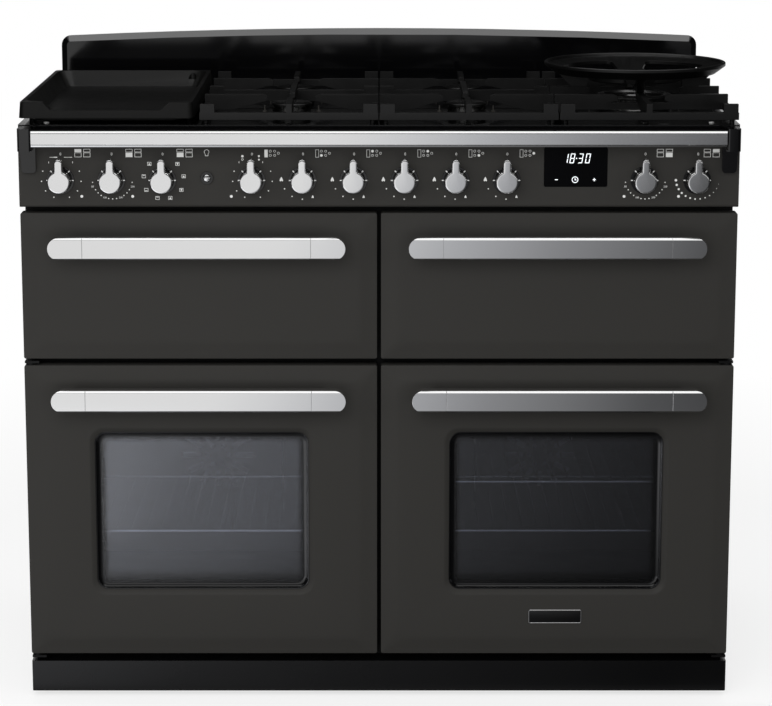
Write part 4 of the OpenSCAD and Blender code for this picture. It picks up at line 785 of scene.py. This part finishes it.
def ovenIcon(x, z, filled):
    # two pairs of compartments, the one that the knob works is filled
    look = panelMarks["ovenIcon"]
    middle = z - look["top"]
    for column in (0, 1):
        left = x + column * (look["cell"] + look["gap"])
        edge = middle - look["split"]
        for row, (low, high) in enumerate(((middle, z), (edge - look["low"], edge))):
            ink.frame(left, low, left + look["cell"], high, 0.6, 1)
            if filled == (column, row):
                ink.bar(left + 0.3, low + 0.3, left + look["cell"] - 0.3, high - 0.3)


def hobIcon(x, z, filled):
    # griddle plate and five burners
    look = panelMarks["hobIcon"]
    wide, tall = look["plate"]
    ink.frame(x, z - tall, x + wide, z, 0.5, 1)
    if filled == 0:
        ink.bar(x + 0.2, z - tall + 0.2, x + wide - 0.2, z - 0.2)
    first, second, third = look["columns"]
    upper, middle, lower = look["rows"]
    burners = ((first, lower), (first, upper), (second, upper), (second, lower), (third, middle))
    for index, (px, pz) in enumerate(burners):
        if filled == index + 1:
            ink.disc(x + px, z + pz, look["dot"])
        else:
            ink.ring(x + px, z + pz, look["dot"] - 0.2, 0.5, 1, count=16)


# the compartment that each knob works, and how far right of the knob the sign stands
ovenSigns = {"grill_knob": ((0, 0), 22.3), "left_oven_temperature_knob": ((0, 1), 22.3),
             "left_oven_function_knob": ((0, 1), 22.3), "right_oven_knob": ((1, 1), 18.2),
             "drawer_knob": ((1, 0), 9.5)}
for node, (filled, offset) in ovenSigns.items():
    x, z = knobAxis[node]
    ovenIcon(x + offset, z + panelMarks["ovenIcon"]["rise"], filled)
for filled, node in enumerate(["hotplate_knob"] + gasKnobs):
    x, z = knobAxis[node]
    hobIcon(x + panelMarks["hobIcon"]["offset"], z + panelMarks["hobIcon"]["rise"], filled)

# power steps of the grill: a thick and a thin element; of the hotplate: its small and its large ring
powerBars = {
    # left, low, right, high, ink
    "grill_knob": [(-15.6, 34.6, -9, 35.3, 1), (-9, 34.2, -4, 35.6, 0), (6.3, 34.5, 18.4, 35.4, 1),
                   (8.5, 34.3, 15.5, 35.4, 0), (-17.6, 25.6, -16.8, 28.4, 1), (18.7, 25.8, 19.5, 28.6, 1)],
    "hotplate_knob": [(-19.1, 26, -18.3, 28.8, 1), (16.8, 26, 17.6, 28.8, 1)],
}
for node, bars in powerBars.items():
    x, z = knobAxis[node]
    for left, low, right, high, shade in bars:
        ink.bar(x + left, z + low, x + right, z + high, shade)
x, z = knobAxis["hotplate_knob"]
for dx, dz, radius in ((-13.5, 36.5, 1.9), (11.5, 36.6, 1.6), (11.5, 31.2, 1.4)):
    ink.disc(x + dx, z + dz, radius)
ink.ring(x - 13.5, z + 31.6, 1.7, 0.6, 1, count=16)

# neon lamps, temperatures, and the signs of the oven's functions
neonRadius = 2.2
neonPlaces = {"grill_knob": 31.9, "left_oven_temperature_knob": 31.9, "hotplate_knob": -30.9,
              "right_oven_knob": -30.4, "drawer_knob": -27.5}
for node, dx in neonPlaces.items():
    x, z = knobAxis[node]
    ink.disc(x + dx, z - 24.8, neonRadius, 2)
heatWords = [("50", -28.8, -9.9), ("250", 32.0, -9.9), ("100", -10.5, -26.6), ("200", 14.0, -26.6)]
for node in ("left_oven_temperature_knob", "right_oven_knob"):
    x, z = knobAxis[node]
    for words, dx, dz in heatWords:
        ink.text(words, x + dx, z + dz, 3.9)
functionPlaces = [(-28.0, 5.9), (-24.6, -14.9), (-7.8, -27.2), (11.6, -27.2), (28.6, -14.9), (32.3, 5.9),
                  (23.2, 24.8), (-19.4, 24.8)]
functionSign = {"wide": 3, "tall": 2.7, "bar": 1.6, "thick": 0.8, "levels": (0.7, -1.7), "fan": 1.2}
x, z = knobAxis["left_oven_function_knob"]
for order, (dx, dz) in enumerate(functionPlaces):
    look = functionSign
    shade = 0 if order < 4 else 1
    middle, low = x + dx, z + dz + look["levels"][order % 2]
    ink.frame(middle - look["wide"], z + dz - look["tall"], middle + look["wide"], z + dz + look["tall"],
              0.6, shade)
    ink.bar(middle - look["bar"], low, middle + look["bar"], low + look["thick"], shade)
    if order > 2:
        ink.disc(middle, z + dz - 0.2, look["fan"], shade, 8)

# flames beside the burner knobs: half outline as shares of the size, a notched foot and a pointed top
flame = {"outline": [(0, -0.55), (0.55, -1.15), (1, -0.6), (0.8, 0.3), (0.35, 1.1), (0, 1.7)],
         # offset across, offset up, size
         "places": [(-32.1, 0.8, 2.6), (15.3, -25.6, 1.7)]}
for node in gasKnobs:
    x, z = knobAxis[node]
    for dx, dz, size in flame["places"]:
        for side in (-1, 1):
            ink.shape([(x + dx + side * size * px, z + dz + size * pz) for px, pz in flame["outline"]])

# dots that shrink around the drawer's knob
drawerDots = {"count": 13, "start": 184, "step": 13.4, "reach": (33, 31), "radius": 2.0, "less": 0.13}
x, z = knobAxis["drawer_knob"]
for order in range(drawerDots["count"]):
    turn = math.radians(drawerDots["start"] + order * drawerDots["step"])
    wide, tall = drawerDots["reach"]
    ink.disc(x + 1 + wide * math.cos(turn), z + 2 + tall * math.sin(turn),
             drawerDots["radius"] - drawerDots["less"] * order, 0 if order < 6 else 1)
# lamp sign over the light button
buttonLow, buttonHigh = boxMm("light_button")
lampX, lampZ = (buttonLow.x + buttonHigh.x) / 2, buttonHigh.z + 34
ink.ring(lampX, lampZ, 3.8, 0.6, 1, -50, 280)
for side in (-1, 1):
    ink.bar(lampX + side * 2.2 - 0.3, lampZ - 5.6, lampX + side * 2.2 + 0.3, lampZ - 2.9, 1)
ink.bar(lampX - 2.2, lampZ - 6.2, lampX + 2.2, lampZ - 5.5, 1)
# the panel's print inks carry a painted glow
ink.finish("panelPrint", ["printInk", "paleInk", "neonOff"])

# dots on arcs around the knobs, in degrees from straight right: knobs, radius, dot, start, step, count
shiftX, shiftZ = panelMarks["shift"]
gasX, gasZ = panelMarks["gasShift"]
ovenKnobs = ["left_oven_temperature_knob", "right_oven_knob"]
dotArcs = {
    "powerLeft": (["grill_knob", "hotplate_knob"], (shiftX, shiftZ), 30.2, 0.95, -113.1, -30.1, 4),
    "powerRight": (["grill_knob", "hotplate_knob"], (shiftX, shiftZ), 30.2, 0.95, -66.9, 30.1, 4),
    "heatFirst": (ovenKnobs, (shiftX, shiftZ), 30.4, 0.85, -170.5, 161, 2),
    "heatLow": (ovenKnobs, (shiftX, shiftZ), 30.4, 0.95, -147.5, 11.5, 3),
    "heatMiddle": (ovenKnobs, (shiftX, shiftZ), 30.4, 0.95, -101.5, 11.5, 3),
    "heatHigh": (ovenKnobs, (shiftX, shiftZ), 30.4, 0.95, -55.5, 11.5, 3),
    "flameSteps": (gasKnobs, (gasX, gasZ), 30.8, 1.0, -151, 30.5, 3),
}
for name, (nodes, shift, radius, dotSize, first, step, count) in dotArcs.items():
    seed = seedMesh(name, [(knobAxis[node][0] + shift[0], -inkLift, knobAxis[node][1] + shift[1])
                           for node in nodes])
    mesh = formMesh(dotArc, seed, "printInk", {
        "Radius": radius * 0.001, "Dot Radius": dotSize * 0.001, "Start Angle": math.radians(first),
        "Step Angle": math.radians(step), "Count": count})
    settle(name + "Dots", mesh, "root", "printInk")

# white ticks on the rings behind the knobs
bezelFront = boxMm("knob_bezels")[0].y
bezelTicks = {"Radius": 0.0192, "Length": 0.0032, "Width": 0.0015, "Start Angle": 0.0,
              "Step Angle": math.radians(45), "Count": 5}
seed = seedMesh("bezelTicks", [(knobAxis[node][0], bezelFront - 0.1, knobAxis[node][1])
                               for node in sorted(knobNodes)])
settle("bezelTicks", formMesh(tickArc, seed, "printInk", bezelTicks), "root", "printInk")
print("panel print done")

# clock face: figures of seven slanted strokes, and three touch marks
clockLow, clockHigh = boxMm("display_glass")
clockX = (clockLow.x + clockHigh.x) / 2
clockFace = InkSheet(clockLow.y - 0.1)
figure = {"tall": 15.0, "wide": 7.0, "stroke": 1.45, "slant": 0.17, "split": 0.22,
          "centre": clockHigh.z - 17.5, "places": {"1": -15.2, "8": -5.3, "3": 7.3, "0": 18.2},
          "colon": (0.9, 1.0)}
strokes = {"1": "bc", "8": "abcdefg", "3": "abcdg", "0": "abcdef"}


def clockStroke(x, letter):
    # strokes a to g, clockwise from the top with g in the middle
    wide, tall, thick, split = figure["wide"] / 2, figure["tall"] / 2, figure["stroke"], figure["split"]
    level = {"a": tall, "g": thick / 2, "d": -tall + thick}
    if letter in level:
        top = level[letter]
        corners = [(-wide + split, top), (wide - split, top), (wide - thick - split, top - thick),
                   (-wide + thick + split, top - thick)]
        if letter == "d":
            corners = [(px, 2 * top - thick - pz) for px, pz in corners]
        if letter == "g":
            corners = [(-wide + thick, top), (wide - thick, top), (wide - split, 0), (wide - thick, -top),
                       (-wide + thick, -top), (-wide + split, 0)]
    else:
        side = 1 if letter in "bc" else -1
        up = 1 if letter in "bf" else -1
        inner = wide - thick
        corners = [(side * wide, up * (tall - split)), (side * wide, up * split),
                   (side * inner, up * (thick / 2 + split)), (side * inner, up * (tall - thick - split))]
    clockFace.shape([(x + px + figure["slant"] * pz, figure["centre"] + pz) for px, pz in corners])


for digit, dx in figure["places"].items():
    for letter in strokes[digit]:
        clockStroke(clockX + dx, letter)
clockFace.disc(clockX + figure["colon"][0], figure["centre"], figure["colon"][1])

# touch marks from the middle of their row: a minus, a plus and a dial with two hands
touchZ = clockHigh.z - 50
for left, low, right, high in ((-31.4, -0.6, -26.8, 0.6), (25.9, -0.6, 30.5, 0.6), (27.6, -2.3, 28.8, 2.3),
                               (-1.4, -0.4, -0.4, 3.2), (-1.4, -0.9, 1.4, 0.1)):
    clockFace.bar(clockX + left, touchZ + low, clockX + right, touchZ + high, 1)
clockFace.ring(clockX - 0.9, touchZ, 5.0, 1.1, 1)
clockFace.finish("clockFigures", ["litSegment", "touchMark"])

# bare plate on the right door: a bright rim around a sunk dark field
plate = {"width": 83, "height": 22, "radius": 2.5, "centre": (275.5, 132.2),
         # inset, height above the door
         "rim": [(0.0, -0.3), (0.0, 1.2), (0.3, 1.5), (1.1, 1.5), (1.4, 1.2), (1.6, 0.8), (1.6, -0.3)],
         "field": [(1.5, -0.3), (1.5, 0.7), (1.8, 0.85)]}


def plateRing(inset, height):
    return roundedRing(plate["width"] - 2 * inset, plate["height"] - 2 * inset, plate["radius"] - 0.6 * inset,
                       -height, plate["centre"])


for name, finish, rings, capped in (
        ("plateRim", "chrome", [plateRing(*pair) for pair in plate["rim"]], False),
        ("plateField", "blackSatin", [plateRing(*pair) for pair in plate["field"]], True)):
    work = bmesh.new()
    loft(work, rings, closed=not capped, capFirst=capped, capLast=capped)
    settle(name, toMesh(work, name, 30), bodyOf["right_door_panel"], finish)
print("small trim done")

# polished ring at the foot of the wok burner
wokLow, wokHigh = boxMm("wok_ring")
# radius, height over the hob
wokRing = {"sides": 72,
           "profile": [(65.5, 0.05), (65.5, 1.0), (66.2, 1.7), (68.4, 1.7), (69.3, 1.0), (69.3, 0.05)]}
wokCentre = ((wokLow.x + wokHigh.x) / 2, (wokLow.y + wokHigh.y) / 2)
work = bmesh.new()
loft(work, [[(x, y, hobTop + height) for x, y in circlePoints(radius, wokRing["sides"], *wokCentre)]
            for radius, height in wokRing["profile"]], closed=True)
settle("wokFootRing", toMesh(work, "wokFootRing"), "root", "polishedRing")

# light: soft boxes
softBoxes = {
    "key": {"place": (-700, -2900, 2150), "aim": (0, 0, 450), "size": (2200, 1500), "brightness": 3.4},
    "low": {"place": (0, -1900, 180), "aim": (0, 0, 250), "size": (2600, 420), "brightness": 3.0},
    "left": {"place": (-2700, -2000, 1400), "aim": (0, 0, 500), "size": (1600, 2000), "brightness": 1.5},
    "right": {"place": (2700, -2000, 1400), "aim": (0, 0, 500), "size": (1600, 2000), "brightness": 1.3},
}
for name, look in softBoxes.items():
    lamp = bpy.data.lights.new(name + "SoftBox", "AREA")
    lamp.shape = "RECTANGLE"
    lamp.size, lamp.size_y = [side * 0.001 for side in look["size"]]
    lamp.energy = look["brightness"] * math.pi * lamp.size * lamp.size_y
    holder = linked(name + "SoftBox", lamp)
    holder.location = at(*look["place"])
    holder.rotation_euler = (at(*look["aim"]) - at(*look["place"])).to_track_quat("-Z", "Y").to_euler()
    # the low one only fills: polished metal shows the cards instead
    holder.visible_glossy = name != "low"

studio = {"skyForDiffuse": 0.45, "skyForShine": 0.6, "floorShade": 0.36, "floorLift": 0.72,
          "floorRadius": 2.6,
          # shares of the floor's radius where it starts and ends to melt into the white behind it
          "melt": (0.45, 0.9)}
world = bpy.data.worlds.new("studioSky")
bpy.context.scene.world = world
world.use_nodes = True
tree = world.node_tree
tree.nodes.clear()
path = addNode(tree, "ShaderNodeLightPath").outputs
# a look straight through a pane sees the white behind it, light that reaches the cavities does not
straight = mathNode(tree, "LESS_THAN", path["Diffuse Depth"], 0.5)
through = mathNode(tree, "MULTIPLY", path["Is Transmission Ray"], straight)
seen = mathNode(tree, "MAXIMUM", path["Is Camera Ray"], through)
shine = mathNode(tree, "MULTIPLY", path["Is Glossy Ray"], studio["skyForShine"] - studio["skyForDiffuse"])
base = mathNode(tree, "ADD", shine, studio["skyForDiffuse"])
strength = addNode(tree, "ShaderNodeMix", {0: seen, 2: base, 3: 1.0}, data_type="FLOAT")
sky = addNode(tree, "ShaderNodeBackground", {"Color": (1, 1, 1, 1), "Strength": strength.outputs[0]})
addNode(tree, "ShaderNodeOutputWorld", {0: sky.outputs[0]})

floorMaterial, tree = bareMaterial("paleFloor")
path = addNode(tree, "ShaderNodeLightPath").outputs
reach = addNode(tree, "ShaderNodeVectorMath", {0: objectPlace(tree)}, operation="LENGTH")
fade = addNode(tree, "ShaderNodeMapRange", {
    "Value": reach.outputs["Value"], "From Min": studio["floorRadius"] * studio["melt"][0],
    "From Max": studio["floorRadius"] * studio["melt"][1]})
floorShader = addNode(tree, "ShaderNodeBsdfPrincipled", {
    "Base Color": (studio["floorShade"],) * 3 + (1,), "Roughness": 0.6, "Specular IOR Level": 0.2,
    "Emission Color": (1, 1, 1, 1),
    "Emission Strength": mathNode(tree, "MULTIPLY", path["Is Camera Ray"], studio["floorLift"])})
farLift = addNode(tree, "ShaderNodeEmission", {"Strength": 1.0})
mixed = addNode(tree, "ShaderNodeMixShader", {
    0: mathNode(tree, "MULTIPLY", fade.outputs["Result"], path["Is Camera Ray"]), 1: floorShader.outputs[0],
    2: farLift.outputs[0]})
addNode(tree, "ShaderNodeOutputMaterial", {0: mixed.outputs[0]})
work = bmesh.new()
bmesh.ops.create_circle(work, cap_ends=True, segments=96, radius=studio["floorRadius"])
floorMesh = bpy.data.meshes.new("paleFloor")
work.to_mesh(floorMesh)
work.free()
floorMesh.materials.append(floorMaterial)
floor = linked("paleFloor", floorMesh)

# cards that only shiny surfaces see: the front one fades from bright on the left to dark on the right
frontCard = {"distance": 1000, "half": 2200, "height": 2100, "floorEnd": 30, "spread": 1.227, "lean": 0.35,
             "level": 568, "from": -400, "to": 900, "floorLean": 0.37,
             # distance along, brightness, blueness
             "fade": [(-150, 0.84, 0.0), (-70, 0.75, 0.01), (100, 0.475, 0.03), (265, 0.275, 0.03),
                      (510, 0.09, 0.03), (900, 0.004, 0.0)],
             # blur of the borders between the zones
             "paneBlur": 15, "hobBlur": 6, "darkBlur": 20,
             # above this height the hob is served, without the fade
             "hobLevel": 850, "hobBrightness": 0.75, "darkLevel": 1000, "darkBrightness": 0.06,
             # below this height the panes are served, with a stronger fade
             "paneLevel": 228,
             "paneFade": [(-400, 1.4, 0.02), (-250, 1.3, 0.03), (-126, 0.86, 0.03), (11, 0.68, 0.03),
                          (284, 0.26, 0.02), (541, 0.135, 0.02), (900, 0.03, 0.0)]}
sideFlags = {"distance": 1700, "near": -1000, "far": 1300, "height": 2300, "brightness": 0.02}
rearFlag = {"distance": 800, "half": 1500, "low": 1000, "high": 2400, "brightness": 0.012}
overCards = {"over the rail": {"height": 2600, "half": 1300, "near": -1000, "far": -150, "brightness": 1.2},
             "over the hob": {"height": 2610, "half": 1300, "near": -50, "far": 750, "brightness": 3.1}}


def stageCard(name, corners, faces, material, throughPanes=False):
    mesh = bpy.data.meshes.new(name)
    mesh.from_pydata([tuple(at(*corner)) for corner in corners], [], faces)
    mesh.materials.append(material)
    board = linked(name, mesh)
    board.visible_camera = board.visible_diffuse = board.visible_shadow = False
    board.visible_transmission = throughPanes


def cardMaterial(name, brightness):
    made, tree = bareMaterial(name)
    light = addNode(tree, "ShaderNodeEmission", {"Strength": brightness})
    addNode(tree, "ShaderNodeOutputMaterial", {0: light.outputs[0]})
    return made


fadeMaterial, tree = bareMaterial("frontCard")
parts = addNode(tree, "ShaderNodeSeparateXYZ", {0: objectPlace(tree)}).outputs
# distance from the cooker's middle, from the level and from the card's foot
across = mathNode(tree, "SUBTRACT", parts["X"], middleX)
above = mathNode(tree, "SUBTRACT", parts["Z"], frontCard["level"] * 0.001)
inward = mathNode(tree, "ADD", mathNode(tree, "SUBTRACT", parts["Y"], frontY), frontCard["distance"] * 0.001)
sideways = mathNode(tree, "MULTIPLY", across, 1 / frontCard["spread"])
raised = mathNode(tree, "MULTIPLY", above, frontCard["lean"])
# along the floor part the card gets darker towards the cooker
nearer = mathNode(tree, "MULTIPLY", inward, frontCard["floorLean"])
sunk = mathNode(tree, "SUBTRACT", raised, nearer)
along = addNode(tree, "ShaderNodeMapRange", {
    "Value": mathNode(tree, "SUBTRACT", sideways, sunk), "From Min": frontCard["from"] * 0.001,
    "From Max": frontCard["to"] * 0.001})


def fadeRamp(stops):
    ramp = addNode(tree, "ShaderNodeValToRGB", {"Fac": along.outputs["Result"]})
    elements = ramp.color_ramp.elements
    for step, (distance, brightness, blueness) in enumerate(stops):
        share = (distance - frontCard["from"]) / (frontCard["to"] - frontCard["from"])
        if 0 < step < len(stops) - 1:
            stop = elements.new(share)
        else:
            stop = elements[0 if step == 0 else -1]
            stop.position = share
        stop.color = (brightness * (1 - 0.5 * blueness), brightness, brightness * (1 + 1.4 * blueness), 1)
    return ramp.outputs["Color"]


def zoneMix(below, above, zone):
    # one brightness below a level of the card, another above it
    level, blur = frontCard[zone + "Level"], frontCard[zone + "Blur"]
    share = addNode(tree, "ShaderNodeMapRange", {
        "Value": parts["Z"], "From Min": (level - blur) * 0.001, "From Max": (level + blur) * 0.001})
    if isinstance(above, float):
        above = (above, above, above, 1)
    return addNode(tree, "ShaderNodeMix", {0: share.outputs["Result"], 6: below, 7: above},
                   data_type="RGBA").outputs[2]


lowZone = zoneMix(fadeRamp(frontCard["paneFade"]), fadeRamp(frontCard["fade"]), "pane")
hobZone = zoneMix(lowZone, frontCard["hobBrightness"], "hob")
light = addNode(tree, "ShaderNodeEmission", {"Color": zoneMix(hobZone, frontCard["darkBrightness"], "dark")})
addNode(tree, "ShaderNodeOutputMaterial", {0: light.outputs[0]})
reach, far, top, near = frontCard["half"], -frontCard["distance"], frontCard["height"], -frontCard["floorEnd"]
corners = [(-reach, near, 2), (reach, near, 2), (reach, far, 2), (-reach, far, 2), (reach, far, top),
           (-reach, far, top)]
stageCard("frontCard", corners, [(0, 1, 2, 3), (3, 2, 4, 5)], fadeMaterial, True)
flag = rearFlag
stageCard("rearFlag", [(side * flag["half"], flag["distance"], flag[edge]) for side, edge in (
    (-1, "low"), (1, "low"), (1, "high"), (-1, "high"))], [(0, 1, 2, 3)],
    cardMaterial("rearFlag", flag["brightness"]))
flag = sideFlags
sideMaterial = cardMaterial("sideFlags", flag["brightness"])
for side, letter in ((-1, "L"), (1, "R")):
    stageCard("sideFlag" + letter, [(side * flag["distance"], flag[edge], level) for edge, level in (
        ("near", 0), ("far", 0), ("far", flag["height"]), ("near", flag["height"]))],
        [(0, 1, 2, 3)], sideMaterial)
for name, look in overCards.items():
    stageCard(name, [(side * look["half"], look[edge], look["height"]) for side, edge in (
        (-1, "near"), (1, "near"), (1, "far"), (-1, "far"))], [(0, 1, 2, 3)],
        cardMaterial(name, look["brightness"]))
print("studio set")
